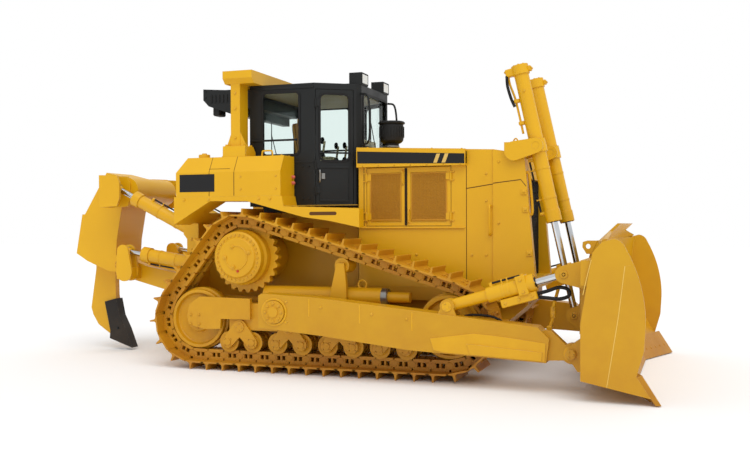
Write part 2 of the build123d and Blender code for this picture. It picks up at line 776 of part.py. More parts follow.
def hinge_strap(x_near, x_far, y_inner, side, z_low, z_high):
    """Flat strap from a hinge barrel to the panel beside it."""
    low, high = sorted((side * y_inner, side * (y_inner + HINGE_RADIUS)))
    x_low, x_high = sorted((x_near, x_far))
    return block(x_low, x_high, low, high, z_low, z_high)


def hinge_on_door(x, towards_door, y_face, side, heights):
    """Hinge barrels and straps on the door side."""
    y = side * (y_face + HINGE_RADIUS)
    knuckles = None
    for z in heights:
        barrel = bar((x, y, z - HINGE_HALF), (x, y, z + HINGE_HALF), HINGE_RADIUS)
        barrel += hinge_strap(x, x + towards_door * 60, y_face, side, z - HINGE_HALF, z + HINGE_HALF)
        barrel -= bar((x, y, z - 100), (x, y, z + 100), HINGE_PIN_RADIUS + PIN_FIT)
        knuckles = barrel if knuckles is None else knuckles + barrel
    return knuckles


def hinge_on_frame(x, towards_door, y_face, side, heights):
    """Hinge pins with their end lugs on the fixed side."""
    y = side * (y_face + HINGE_RADIUS)
    lugs = None
    for z in heights:
        reach = HINGE_HALF + PIN_FIT
        lug = bar((x, y, z - reach - 14), (x, y, z + reach + 14), HINGE_PIN_RADIUS)
        for z_low in (z - reach - 14, z + reach):
            lug += bar((x, y, z_low), (x, y, z_low + 14), HINGE_RADIUS)
            lug += hinge_strap(x, x - towards_door * 40, y_face, side, z_low, z_low + 14)
        lugs = lug if lugs is None else lugs + lug
    return lugs


def make_engine_door(x_low, x_high, side):
    """Engine side door with a grille field of slats."""
    low = DOOR_BOTTOM
    high = DOOR_TOP
    face = side_face([(x_low, low), (x_high, low), (x_high, high), (x_low, high)])
    edge = 55
    window = side_face([
        (x_low + edge, low + 40), (x_high - edge, low + 40),
        (x_high - edge, high - 60), (x_low + edge, high - 60),
    ])
    door = mirrored_slab(face - window, HOOD_HALF_WIDTH - DOOR_SKIN, HOOD_HALF_WIDTH, side)
    mesh = mirrored_slab(window, HOOD_HALF_WIDTH - 18, HOOD_HALF_WIDTH - 12, side)
    edge_x, towards = (x_low, 1) if x_low == DOOR_REAR_X else (x_high, -1)
    hinge_x = hinge_axis_x(edge_x, towards)
    return door + mesh + hinge_on_door(hinge_x, towards, HOOD_HALF_WIDTH, side, DOOR_HINGE_Z)


# Cab

def cab_outline(inset=0.0):
    """Plan outline of the cab walls, moved inwards by an inset."""
    points = [
        (CAB_REAR_X, -CAB_HALF_WIDTH),
        (CAB_SIDE_FRONT_X, -CAB_HALF_WIDTH),
        (CAB_NOSE_SIDE_X, -CAB_NOSE_HALF_WIDTH),
        (CAB_NOSE_X, -CAB_NOSE_HALF_WIDTH + 60),
        (CAB_NOSE_X, CAB_NOSE_HALF_WIDTH - 60),
        (CAB_NOSE_SIDE_X, CAB_NOSE_HALF_WIDTH),
        (CAB_SIDE_FRONT_X, CAB_HALF_WIDTH),
        (CAB_REAR_X, CAB_HALF_WIDTH),
    ]
    face = make_face(Polyline(*points, close=True))
    if inset > 0:
        face = offset(face, amount=-inset, kind=Kind.INTERSECTION)
    return face


def cab_door_plane(side):
    """Plane on the slanted wall: x along the wall, y up, z outwards."""
    start = Vector(CAB_SIDE_FRONT_X, side * CAB_HALF_WIDTH, 0)
    end = Vector(CAB_NOSE_SIDE_X, side * CAB_NOSE_HALF_WIDTH, 0)
    along_wall = (end - start).normalized()
    outwards = Vector(-along_wall.Y * side, along_wall.X * side, 0)
    if side > 0:
        return Plane(origin=start, x_dir=along_wall, z_dir=outwards), (end - start).length
    return Plane(origin=start, x_dir=along_wall, z_dir=outwards), (end - start).length


def on_wall(plane, low_run, high_run, low_z, high_z, depth_in, depth_out):
    """Block on a wall plane; z up in the world, runs measured along the wall."""
    start = plane.origin + plane.x_dir * low_run - plane.z_dir * depth_in
    up = Vector(0, 0, 1)
    base = Plane(origin=start + up * low_z, x_dir=plane.x_dir, z_dir=plane.z_dir)
    height = high_z - low_z
    run = high_run - low_run
    direction = 1 if (base.y_dir.Z > 0) else -1
    corner_align = (Align.MIN, Align.MIN if direction > 0 else Align.MAX)
    return extrude(base * Rectangle(run, height, align=corner_align), amount=depth_in + depth_out)


def cab_hinge_point(side):
    """Plan position of a cab door hinge axis."""
    plane, _ = cab_door_plane(side)
    return plane.origin + plane.x_dir * (CAB_DOOR_EDGE - PANEL_GAP / 2) + plane.z_dir * HINGE_RADIUS


def cab_hinge_bar(side, z_low, z_high, radius):
    """Upright bar on the cab door's hinge axis."""
    point = cab_hinge_point(side)
    return bar((point.X, point.Y, z_low), (point.X, point.Y, z_high), radius)


def make_cab():
    """Cab shell: floor, walls with window cuts, open doorways, roof."""
    body = extrude(Plane.XY.offset(CAB_FLOOR) * cab_outline(), amount=CAB_ROOF_TOP - CAB_FLOOR)
    hollow = extrude(Plane.XY.offset(CAB_FLOOR + 60) * cab_outline(CAB_WALL),
                     amount=CAB_ROOF_BOTTOM - CAB_FLOOR - 60)
    body -= hollow
    base_low = Plane.XY.offset(CASE_TOP) * Pos((CAB_REAR_X + CAB_NOSE_X) / 2, 0)
    body += extrude(base_low * Rectangle(CAB_NOSE_X - CAB_REAR_X, 2 * CAB_NOSE_HALF_WIDTH - 120),
                    amount=CAB_FLOOR - CASE_TOP)
    for side in SIDES:
        plane, length = cab_door_plane(side)
        body -= on_wall(plane, CAB_DOOR_EDGE - PANEL_GAP, length - CAB_DOOR_FREE_EDGE + PANEL_GAP,
                        CAB_DOOR_BOTTOM - PANEL_GAP, CAB_ROOF_BOTTOM - 8, CAB_WALL + 60, 30)
        low, high = sorted((side * (CAB_HALF_WIDTH - 80), side * (CAB_HALF_WIDTH + 20)))
        body -= block(CAB_REAR_X + 180, CAB_SIDE_FRONT_X - 200, low, high, CAB_SILL, CAB_HEAD)
        reach = HINGE_HALF + PIN_FIT
        for z in CAB_HINGE_Z:
            body += cab_hinge_bar(side, z - reach - 14, z + reach + 14, HINGE_PIN_RADIUS)
            for z_low in (z - reach - 14, z + reach):
                body += cab_hinge_bar(side, z_low, z_low + 14, HINGE_RADIUS)
                body += on_wall(plane, 2, CAB_DOOR_EDGE - PANEL_GAP / 2, z_low, z_low + 14, 20, HINGE_RADIUS)
    body -= block(CAB_NOSE_X - 80, CAB_NOSE_X + 20, -430, 430, 2700, CAB_HEAD)
    body -= block(CAB_REAR_X - 20, CAB_REAR_X + 80, -620, 620, CAB_SILL, CAB_HEAD)
    body += extrude(Plane.XY.offset(CAB_ROOF_TOP) * Pos(25, 0) * Rectangle(400, 1000), amount=22)
    return body


def make_cab_door(side):
    """Cab door: framed leaf on the slanted wall."""
    plane, length = cab_door_plane(side)
    door = on_wall(plane, CAB_DOOR_EDGE, length - CAB_DOOR_FREE_EDGE, CAB_DOOR_BOTTOM, CAB_ROOF_BOTTOM - 14,
                   CAB_WALL, 0)
    door -= on_wall(plane, CAB_DOOR_EDGE + CAB_DOOR_FRAME, length - CAB_DOOR_FREE_EDGE - CAB_DOOR_FRAME, CAB_SILL - 80, CAB_HEAD - 30,
                    CAB_WALL + 10, 10)
    for z in CAB_HINGE_Z:
        door += cab_hinge_bar(side, z - HINGE_HALF, z + HINGE_HALF, HINGE_RADIUS)
        door += on_wall(plane, CAB_DOOR_EDGE - PANEL_GAP / 2, CAB_DOOR_EDGE + 45, z - HINGE_HALF, z + HINGE_HALF,
                        0, HINGE_RADIUS)
        door -= cab_hinge_bar(side, z - 100, z + 100, HINGE_PIN_RADIUS + PIN_FIT)
    return door


def make_door_glass(side):
    """Pane in the cab door."""
    plane, length = cab_door_plane(side)
    return on_wall(plane, CAB_DOOR_EDGE + CAB_DOOR_FRAME, length - CAB_DOOR_FREE_EDGE - CAB_DOOR_FRAME, CAB_SILL - 80, CAB_HEAD - 30,
                   CAB_WALL / 2 + GLASS / 2, -CAB_WALL / 2 + GLASS / 2)


def make_cab_glass():
    """Fixed panes of the cab."""
    panes = []
    depth = CAB_HALF_WIDTH - CAB_WALL / 2
    for side in SIDES:
        low, high = sorted((side * (depth - GLASS / 2), side * (depth + GLASS / 2)))
        panes.append(block(CAB_REAR_X + 180, CAB_SIDE_FRONT_X - 200, low, high, CAB_SILL, CAB_HEAD))
    front = CAB_NOSE_X - CAB_WALL / 2
    panes.append(block(front - GLASS / 2, front + GLASS / 2, -430, 430, 2700, CAB_HEAD))
    rear = CAB_REAR_X + CAB_WALL / 2
    panes.append(block(rear - GLASS / 2, rear + GLASS / 2, -620, 620, CAB_SILL, CAB_HEAD))
    return panes


def make_seat():
    """Operator's seat on its pedestal."""
    floor = CAB_FLOOR + 60
    seat = block(-480, -120, -200, 200, floor, floor + 330)
    seat += block(-560, -60, -260, 260, floor + 330, floor + 470)
    seat += plate([(-620, floor + 400), (-520, floor + 400), (-590, floor + 1060), (-680, floor + 1060)], -250, 250)
    return seat


def make_console():
    """Instrument console and control levers."""
    floor = CAB_FLOOR + 60
    console = block(150, 300, -260, 260, floor, floor + 780)
    console += block(-420, -40, 300, 460, floor, floor + 560)
    console += block(-420, -40, -460, -300, floor, floor + 560)
    for x in (-300, -180):
        for y in (-380, 380):
            console += bar((x, y, floor + 560), (x + 30, y, floor + 760), 14)
    return console


def make_ac_unit():
    """Air-conditioning housing behind the cab roof."""
    return plate([
        (-1717, 3330), (-1640, 3250), (-1200, 3100), (-1100, 3100), (-1100, 3200),
        (CAB_REAR_X, 3200), (CAB_REAR_X, 3425), (ROPS_REAR_X - 90, 3430), (-1717, 3470),
    ], -640, 640)


def make_rops():
    """Rollover bar: two posts and the crossbar."""
    rops = cross_section([
        (-ROPS_OUTER_Y - 60, ROPS_BAR_BOTTOM + 60), (-ROPS_OUTER_Y, ROPS_BAR_BOTTOM),
        (ROPS_OUTER_Y, ROPS_BAR_BOTTOM), (ROPS_OUTER_Y + 60, ROPS_BAR_BOTTOM + 60),
        (ROPS_OUTER_Y + 60, ROPS_TOP), (-ROPS_OUTER_Y - 60, ROPS_TOP),
    ], ROPS_REAR_X - 78, ROPS_FRONT_X + 190)
    for side in SIDES:
        low, high = sorted((side * ROPS_INNER_Y, side * ROPS_OUTER_Y))
        rops += block(ROPS_REAR_X, ROPS_FRONT_X, low, high, TANK_TOP, ROPS_BAR_BOTTOM)
        low, high = sorted((side * (ROPS_INNER_Y - 5), side * (ROPS_OUTER_Y + 65)))
        rops += cross_section([
            (low, TANK_TOP), (high, TANK_TOP), (high, TANK_TOP + 60),
            (high - 60, TANK_TOP + 130), (low + 5, TANK_TOP + 130), (low, TANK_TOP + 60),
        ], ROPS_REAR_X - 77, ROPS_FRONT_X + 100)
    return rops


def make_tanks():
    """Fuel and hydraulic tanks on the fenders."""
    side_outline = side_face([
        (TANK_REAR_X, TANK_BOTTOM), (TANK_FRONT_X, TANK_BOTTOM), (TANK_FRONT_X, TANK_TOP),
        (TANK_REAR_X + 110, TANK_TOP), (TANK_REAR_X, TANK_SHOULDER),
    ])
    pieces = []
    for side in SIDES:
        tank = mirrored_slab(side_outline, TANK_INNER_Y, TANK_OUTER_Y, side)
        trim = cross_section([
            (side * TANK_OUTER_Y, TANK_SHOULDER),
            (side * (TANK_OUTER_Y + 10), TANK_SHOULDER),
            (side * (TANK_OUTER_Y + 10), TANK_TOP + 10),
            (side * (TANK_OUTER_Y - 100), TANK_TOP + 10),
            (side * (TANK_OUTER_Y - 100), TANK_TOP),
        ], TANK_REAR_X - 10, TANK_FRONT_X + 10)
        pieces.append(tank - trim)
    return pieces


def make_fenders():
    """Fender decks over the tracks that carry the tanks."""
    outline = side_face([
        (TANK_REAR_X - 30, 1740), (TANK_REAR_X - 30, TANK_BOTTOM), (-337, TANK_BOTTOM), (-311, 1952),
        (630, 1918), (630, 1703), (261, 1780), (-65, 1825), (-789, 2017), (-1281, 2023), (-1690, 1790),
    ])
    pieces = []
    deck_front = DOOR_REAR_X - 24
    for side in SIDES:
        outer = mirrored_slab(outline, TANK_INNER_Y, TANK_OUTER_Y, side)
        low, high = sorted((side * (TANK_INNER_Y - 10), side * 1105))
        outer -= block(deck_front, 700, low, high, 1600, TANK_TOP)
        inner = mirrored_slab(outline, CASE_HALF_WIDTH, TANK_INNER_Y, side)
        low, high = sorted((side * 400, side * (TANK_INNER_Y + 10)))
        inner = inner & block(CASE_REAR_X, HOOD_REAR_X - 4, low, high, 1600, CASE_TOP - 4)
        pieces.append(outer + inner)
    return pieces


def make_precleaner():
    """Air intake precleaner on its stack."""
    z = hood_top(672 - 95) + SEAT_GAP
    stack = Pos(672, -200, z + 40) * Cylinder(95, 80)
    bowl = Pos(672, -200, z + 80 + 120) * Cylinder(150, 240)
    cap = Pos(672, -200, z + 80 + 240 + 20) * Cylinder(165, 40)
    return stack + bowl + cap


def make_lamps():
    """Work lamps: two roof pods forward, two under the rear housing."""
    lamps = []
    for side in SIDES:
        y = side * 400
        lamps.append(block(230, 395, y - 110, y + 110, CAB_ROOF_TOP, CAB_ROOF_TOP + 150))
    return lamps


# Blade lift

def make_yokes():
    """Trunnion carriers of the lift cylinders on the nose."""
    pieces = []
    reach = 150
    cheek = rounded_hull([(LIFT_PIVOT_X, LIFT_PIVOT_Z, 85), (NOSE_TOP_X - 100, NOSE_TOP_Z + 30, 110)])
    for side in SIDES:
        yoke = None
        for y in (LIFT_Y - reach, LIFT_Y + reach - 40):
            ear = mirrored_slab(cheek, y, y + 40, side)
            ear -= cross_bar(LIFT_PIVOT_X, LIFT_PIVOT_Z, 42 + PIN_FIT, -900, 900)
            yoke = ear if yoke is None else yoke + ear
        low, high = sorted((side * (LIFT_Y - reach), side * (LIFT_Y + reach)))
        yoke += block(NOSE_TOP_X - 210, NOSE_TOP_X - 90, low, high, NOSE_TOP_Z + 35, NOSE_TOP_Z + 130)
        pieces.append(yoke - make_nose())
    return pieces


def lift_axis_point(distance):
    """Point on the lift cylinder axis, measured down from the trunnion."""
    return along((LIFT_PIVOT_X, LIFT_PIVOT_Z), (LIFT_EYE_X, LIFT_EYE_Z), distance)


def spot(point, y):
    """3-D point from an X-Z point and a Y value."""
    return (point[0], y, point[1])


def make_lift_barrel(side):
    """Lift cylinder barrel with trunnion collar and gland."""
    y = side * LIFT_Y
    top = spot(lift_axis_point(-LIFT_ABOVE), y)
    bottom = spot(lift_axis_point(LIFT_BELOW), y)
    barrel = bar(top, bottom, LIFT_BARREL_RADIUS)
    barrel += bar(spot(lift_axis_point(-LIFT_ABOVE), y), spot(lift_axis_point(-LIFT_ABOVE + 110), y),
                  LIFT_BARREL_RADIUS + 14)
    barrel += bar(spot(lift_axis_point(LIFT_BELOW - 130), y), spot(lift_axis_point(LIFT_BELOW), y),
                  LIFT_BARREL_RADIUS + 8)
    barrel += bar(spot(lift_axis_point(-75), y), spot(lift_axis_point(75), y), LIFT_BARREL_RADIUS + 18)
    barrel += cross_bar(LIFT_PIVOT_X, LIFT_PIVOT_Z, 42, y - 148, y + 148)
    bore = bar(spot(lift_axis_point(-LIFT_ABOVE + 60), y), spot(lift_axis_point(LIFT_BELOW - 60), y), 62)
    gland = bar(spot(lift_axis_point(LIFT_BELOW - 80), y), spot(lift_axis_point(LIFT_BELOW + 10), y),
                LIFT_ROD_RADIUS + PIN_FIT)
    return barrel - bore - gland


def make_lift_rod(side):
    """Lift cylinder rod, piston and eye."""
    y = side * LIFT_Y
    reach = hypot(LIFT_EYE_X - LIFT_PIVOT_X, LIFT_EYE_Z - LIFT_PIVOT_Z)
    rod = bar(spot(lift_axis_point(300), y), spot(lift_axis_point(reach - 20), y), LIFT_ROD_RADIUS)
    rod += bar(spot(lift_axis_point(200), y), spot(lift_axis_point(300), y), 62 - PIN_FIT)
    rod += cross_bar(LIFT_EYE_X, LIFT_EYE_Z, 62, y - 48, y + 48)
    return rod


def make_push_arm(side):
    """Push arm: box beam with a front tongue, tilt bracket and trunnion boss."""
    body = [(-470, 560), (-470, 930), (-430, 955), (200, 925), (1500, 800), (2700, 677),
            (2820, 560), (2789, 313), (1300, 385), (300, 500), (-400, 560)]
    tongue = side_face([(2600, 640), (2830, 640), (3000, 481), (2990, 340), (2789, 330), (2600, 330)])
    tongue += Pos(BLADE_PIN_X, BLADE_PIN_Z) * Circle(105)
    arm = mirrored_slab(side_face(body), ARM_INNER_Y, ARM_OUTER_Y, side)
    arm += mirrored_slab(tongue, BLADE_PIN_Y - TONGUE_HALF, BLADE_PIN_Y + TONGUE_HALF, side)
    arm -= cross_bar(BLADE_PIN_X, BLADE_PIN_Z, BLADE_PIN_RADIUS + PIN_FIT, -1700, 1700)
    trunnion_hole = cross_bar(TRUNNION_X, TRUNNION_Z, 100 + PIN_FIT, -1700, 1700)
    arm -= trunnion_hole
    ear = side_face([(TILT_PIVOT_X - 150, 700), (TILT_PIVOT_X + 130, 700), (TILT_PIVOT_X + 60, TILT_PIVOT_Z),
                     (TILT_PIVOT_X - 60, TILT_PIVOT_Z)])
    ear += Pos(TILT_PIVOT_X, TILT_PIVOT_Z) * Circle(78)
    ear -= Pos(TILT_PIVOT_X, TILT_PIVOT_Z) * Circle(38)
    for y in (TILT_Y - 98, TILT_Y + 68):
        arm += mirrored_slab(ear, y, y + 30, side)
    arm -= mirrored_slab(Pos(TILT_PIVOT_X, TILT_PIVOT_Z) * Circle(86), TILT_Y - 68, TILT_Y + 68, side)
    pin_low, pin_high = sorted((side * (TILT_Y - 98), side * (TILT_Y + 106)))
    arm += cross_bar(TILT_PIVOT_X, TILT_PIVOT_Z, 38, pin_low, pin_high)
    return arm


def make_trunnions():
    """Trunnion stubs on the roller frames that carry the push arms."""
    pieces = []
    start = TRACK_Y + FRAME_HALF_WIDTH
    for side in SIDES:
        low, high = sorted((side * start, side * (ARM_OUTER_Y + 20)))
        stub = cross_bar(TRUNNION_X, TRUNNION_Z, 100, low, high)
        low, high = sorted((side * start, side * (ARM_INNER_Y - SIDE_GAP)))
        stub += cross_bar(TRUNNION_X, TRUNNION_Z, 138, low, high)
        low, high = sorted((side * (ARM_OUTER_Y + SIDE_GAP), side * (ARM_OUTER_Y + 30)))
        stub += cross_bar(TRUNNION_X, TRUNNION_Z, 130, low, high)
        pieces.append(stub)
    return pieces


# Blade

def edge_line(shift, z):
    """X of the cutting edge's rear face at one height."""
    foot_x, foot_z = EDGE_TOP
    return foot_x + shift + (foot_z - z) * EDGE_SLOPE


def blade_arcs(shift, top_shift):
    """Foot, middle and top points of the moldboard's front curve."""
    foot = (EDGE_TOP[0] + shift, EDGE_TOP[1])
    middle = (MOLDBOARD_MIDDLE[0] + shift * MIDDLE_SWEEP, MOLDBOARD_MIDDLE[1])
    high = (MOLDBOARD_TOP[0] + top_shift, MOLDBOARD_TOP[1])
    return foot, middle, high


def rear_arc(shift, top_shift, thickness):
    """Moldboard curve moved back by a thickness, with its ends."""
    foot, middle, high = blade_arcs(shift, top_shift)
    run = hypot(1, EDGE_SLOPE)
    back_foot = (foot[0] - thickness / run, foot[1] - thickness * EDGE_SLOPE / run)
    back_high = (high[0] - thickness, high[1])
    return ThreePointArc(back_high, (middle[0] - thickness, middle[1]), back_foot), back_high, back_foot


def blade_section(shift, top_shift):
    """Curved moldboard section in X-Z: a plate that ends in a lip behind the cutting edge."""
    foot, middle, high = blade_arcs(shift, top_shift)
    rear, back_high, back_foot = rear_arc(shift, top_shift, MOLDBOARD_PLATE)
    lip = (edge_line(shift, LIP_Z), LIP_Z)
    back_lip = (back_foot[0] + lip[0] - foot[0], back_foot[1] + lip[1] - foot[1])
    front = ThreePointArc(foot, middle, high)
    return make_face(front + Line(high, back_high) + rear + Line(back_foot, back_lip)
                     + Line(back_lip, lip) + Line(lip, foot))


def front_space_section(shift, top_shift):
    """Space from just behind the moldboard forwards, in X-Z."""
    rear, back_high, back_foot = rear_arc(shift, top_shift, MOLDBOARD_PLATE + SEAT_GAP)
    slope = (back_foot[0] + EDGE_SLOPE * (back_foot[1] - FRONT_SPACE_LOW), FRONT_SPACE_LOW)
    far_low = (FRONT_SPACE_X, FRONT_SPACE_LOW)
    far_high = (FRONT_SPACE_X, MOLDBOARD_TOP[1])
    return make_face(rear + Line(back_foot, slope) + Line(slope, far_low) + Line(far_low, far_high)
                     + Line(far_high, back_high))


def across_blade(section, half_width):
    """Loft one section across the swept right wing, the centre and the left wing."""
    whole = None
    top_sweep = WING_TOP_SWEEP
    stations = ((-half_width, WING_SWEEP, top_sweep), (-WING_Y, 0, 0), (WING_Y, 0, 0),
                (half_width, WING_SWEEP, top_sweep))
    for first, second in zip(stations[:-1], stations[1:]):
        faces = []
        for y, shift, top_shift in (first, second):
            plane = Plane(origin=(0, y, 0), x_dir=(1, 0, 0), z_dir=(0, -1, 0))
            faces.append(plane * section(shift, top_shift))
        piece = loft(faces, ruled=True)
        whole = piece if whole is None else whole + piece
    return whole


def make_blade():
    """Semi-U moldboard with its end plates and spill guard."""
    inner_end = BLADE_HALF_WIDTH - END_PLATE
    blade = across_blade(blade_section, inner_end)
    end = make_face(
        Polyline((3490, 1590), (3380, 1560), (3290, 1455), (BLADE_BACK_X + 40, 1000), (BLADE_BACK_X, 767),
                 (BLADE_BACK_X, 208), (3421, 157), (edge_line(WING_SWEEP, 72), 72),
                 (EDGE_TOP[0] + WING_SWEEP, EDGE_TOP[1]), (3770, 520), (3785, 761))
        + ThreePointArc((3785, 761), (3742, 1140), (3600, 1500))
        + ThreePointArc((3600, 1500), (3560, 1560), (3490, 1590)))
    for side in SIDES:
        blade += mirrored_slab(end, inner_end, BLADE_HALF_WIDTH, side)
    guard = [(3250, 1560), (3290, 1560), (3480, 1740), (3440, 1740)]
    blade += plate(guard, -GUARD_HALF_WIDTH, GUARD_HALF_WIDTH)
    for side in SIDES:
        blade += guard_wing(side)
    return blade


def guard_wing(side):
    """Spill guard beside the centre: it slants down to the end plate."""
    plane_low = Plane(origin=(0, side * GUARD_HALF_WIDTH, 0), x_dir=(1, 0, 0), z_dir=(0, -1, 0))
    plane_far = Plane(origin=(0, side * GUARD_END_Y, 0), x_dir=(1, 0, 0), z_dir=(0, -1, 0))
    near = plane_low * side_face([(3250, 1560), (3290, 1560), (3395, 1660), (3355, 1660)])
    far = plane_far * side_face([(3362, 1560), (3402, 1560), (3432, 1588), (3392, 1588)])
    return loft([near, far], ruled=True)


def make_blade_frame():
    """Back of the blade: two cross beams, wing beams and upright ribs."""
    back = BLADE_BACK_X
    low_beam = [(back - 60, 235), (3560, 235), (3400, 560), (back - 60, 560)]
    high_beam = [(back - 60, 1130), (3400, 1130), (3420, 1420), (back, 1420)]
    frame = plate(low_beam, -WING_Y, WING_Y) + plate(high_beam, -WING_Y, WING_Y)
    inner_end = BLADE_HALF_WIDTH - END_PLATE
    for side in SIDES:
        low, high = sorted((side * WING_Y, side * (inner_end - SEAT_GAP)))
        frame += block(back, FRONT_SPACE_X - 40, low, high, 235, 560)
        frame += block(back, FRONT_SPACE_X - 40, low, high, 1130, 1380)
        low, high = sorted((side * (WING_Y + 345), side * (WING_Y + 375)))
        frame += block(back - 50, FRONT_SPACE_X - 40, low, high, 560, 1130)
    for y in BLADE_RIBS:
        frame += block(back - 115, FRONT_SPACE_X - 40, y - 15, y + 15, 560, 1130)
    return frame - across_blade(front_space_section, BLADE_HALF_WIDTH)


def make_blade_lugs():
    """Lugs on the blade's back: pins of the push arms, cylinder lugs, lifting ears."""
    space = across_blade(front_space_section, BLADE_HALF_WIDTH)
    behind = BLADE_BACK_X - SEAT_GAP
    deep = BLADE_BACK_X - 60 - SEAT_GAP
    pieces = []
    pin_ear = side_face([(behind, 235), (behind, 600), (3060, 520), (3000, 470), (3000, 350), (3060, 300),
                         (3100, 235)])
    lift_ear = rounded_hull([(LIFT_EYE_X, LIFT_EYE_Z, 90), (BLADE_BACK_X, LIFT_EYE_Z - 40, 180)])
    lift_ear -= side_face([(deep, 0), (4000, 0), (4000, 560 + SEAT_GAP), (deep, 560 + SEAT_GAP)])
    tilt_ear = rounded_hull([(TILT_EYE_X, TILT_EYE_Z, 90), (BLADE_BACK_X + 30, TILT_EYE_Z, 150)])
    tilt_ear -= side_face([(behind, 0), (4000, 0), (4000, 3000), (behind, 3000)])
    lifting_ear = side_face([(3270, 1420 + SEAT_GAP), (3150, 1420 + SEAT_GAP), (3108, 1490), (3112, 1545),
                             (3160, 1560), (3270, 1560)])
    lifting_ear -= Pos(LIFTING_HOLE_X, LIFTING_HOLE_Z) * Circle(LIFTING_HOLE_RADIUS)
    for side in SIDES:
        pin_y = BLADE_PIN_Y
        reach = TONGUE_HALF + SIDE_GAP
        lugs = mirrored_slab(pin_ear, pin_y - reach - 40, pin_y - reach, side)
        lugs += mirrored_slab(pin_ear, pin_y + reach, pin_y + reach + 40, side)
        low, high = sorted((side * (pin_y - 130), side * (pin_y + 130)))
        pieces.append(lugs + cross_bar(BLADE_PIN_X, BLADE_PIN_Z, BLADE_PIN_RADIUS, low, high))
        for y in (LIFT_Y - 70 - LUG_PLATE, LIFT_Y + 70):
            pieces.append(mirrored_slab(lift_ear, y, y + LUG_PLATE, side) - space)
        for y in (TILT_Y - 70 - LUG_PLATE, TILT_Y + 70):
            pieces.append(mirrored_slab(tilt_ear, y, y + LUG_PLATE, side))
        pieces.append(mirrored_slab(lifting_ear, LIFTING_EAR_Y, LIFTING_EAR_Y + LIFTING_EAR, side) - space)
    return pieces


def edge_station(y, shift):
    """Cutting edge section placed at one Y."""
    plane = Plane(origin=(0, y, 0), x_dir=(1, 0, 0), z_dir=(0, -1, 0))
    points = [
        (edge_line(shift, EDGE_TOP[1]), EDGE_TOP[1]),
        (edge_line(shift, EDGE_TOP[1]) + EDGE_THICKNESS, EDGE_TOP[1] + 14),
        (edge_line(shift, EDGE_FOOT_Z) + EDGE_THICKNESS, EDGE_FOOT_Z),
        (edge_line(shift, EDGE_FOOT_Z), EDGE_FOOT_Z),
    ]
    return plane * side_face(points)


def make_cutting_edge():
    """Bolt-on cutting edge and end bits along the blade's foot."""
    inner_end = BLADE_HALF_WIDTH - END_PLATE
    stations = (
        (-BLADE_HALF_WIDTH, WING_SWEEP), (-inner_end, WING_SWEEP), (-WING_Y, 0),
        (WING_Y, 0), (inner_end, WING_SWEEP), (BLADE_HALF_WIDTH, WING_SWEEP),
    )
    edge = None
    for first, second in zip(stations[:-1], stations[1:]):
        piece = loft([edge_station(*first), edge_station(*second)], ruled=True)
        edge = piece if edge is None else edge + piece
    return edge


# Tilt cylinders

def tilt_axis_point(distance):
    """Point on the tilt cylinder axis, measured from its rear pin."""
    return along((TILT_PIVOT_X, TILT_PIVOT_Z), (TILT_EYE_X, TILT_EYE_Z), distance)


def make_tilt_barrel(side):
    """Tilt cylinder barrel: rear eye, slim rear tube, barrel and head."""
    y = side * TILT_Y
    barrel = cross_bar(TILT_PIVOT_X, TILT_PIVOT_Z, 80, y - 54, y + 54)
    barrel += bar(spot(tilt_axis_point(40), y), spot(tilt_axis_point(TILT_REAR_TUBE_LENGTH), y),
                  TILT_REAR_TUBE_RADIUS)
    barrel += bar(spot(tilt_axis_point(TILT_REAR_TUBE_LENGTH - 10), y), spot(tilt_axis_point(TILT_BARREL_END), y),
                  TILT_BARREL_RADIUS)
    barrel += bar(spot(tilt_axis_point(TILT_BARREL_END - 140), y), spot(tilt_axis_point(TILT_BARREL_END), y),
                  TILT_BARREL_RADIUS + 14)
    barrel -= cross_bar(TILT_PIVOT_X, TILT_PIVOT_Z, 38 + PIN_FIT, -1700, 1700)
    barrel -= bar(spot(tilt_axis_point(TILT_REAR_TUBE_LENGTH + 40), y),
                  spot(tilt_axis_point(TILT_BARREL_END - 60), y), 62)
    barrel -= bar(spot(tilt_axis_point(TILT_BARREL_END - 80), y), spot(tilt_axis_point(TILT_BARREL_END + 10), y),
                  TILT_ROD_RADIUS + PIN_FIT)
    return barrel


def make_tilt_rod(side):
    """Tilt cylinder rod, piston and eye."""
    y = side * TILT_Y
    reach = hypot(TILT_EYE_X - TILT_PIVOT_X, TILT_EYE_Z - TILT_PIVOT_Z)
    rod = bar(spot(tilt_axis_point(700), y), spot(tilt_axis_point(reach - 20), y), TILT_ROD_RADIUS)
    rod += bar(spot(tilt_axis_point(640), y), spot(tilt_axis_point(700), y), 62 - PIN_FIT)
    rod += cross_bar(TILT_EYE_X, TILT_EYE_Z, 62, y - 48, y + 48)
    return rod


# Ripper

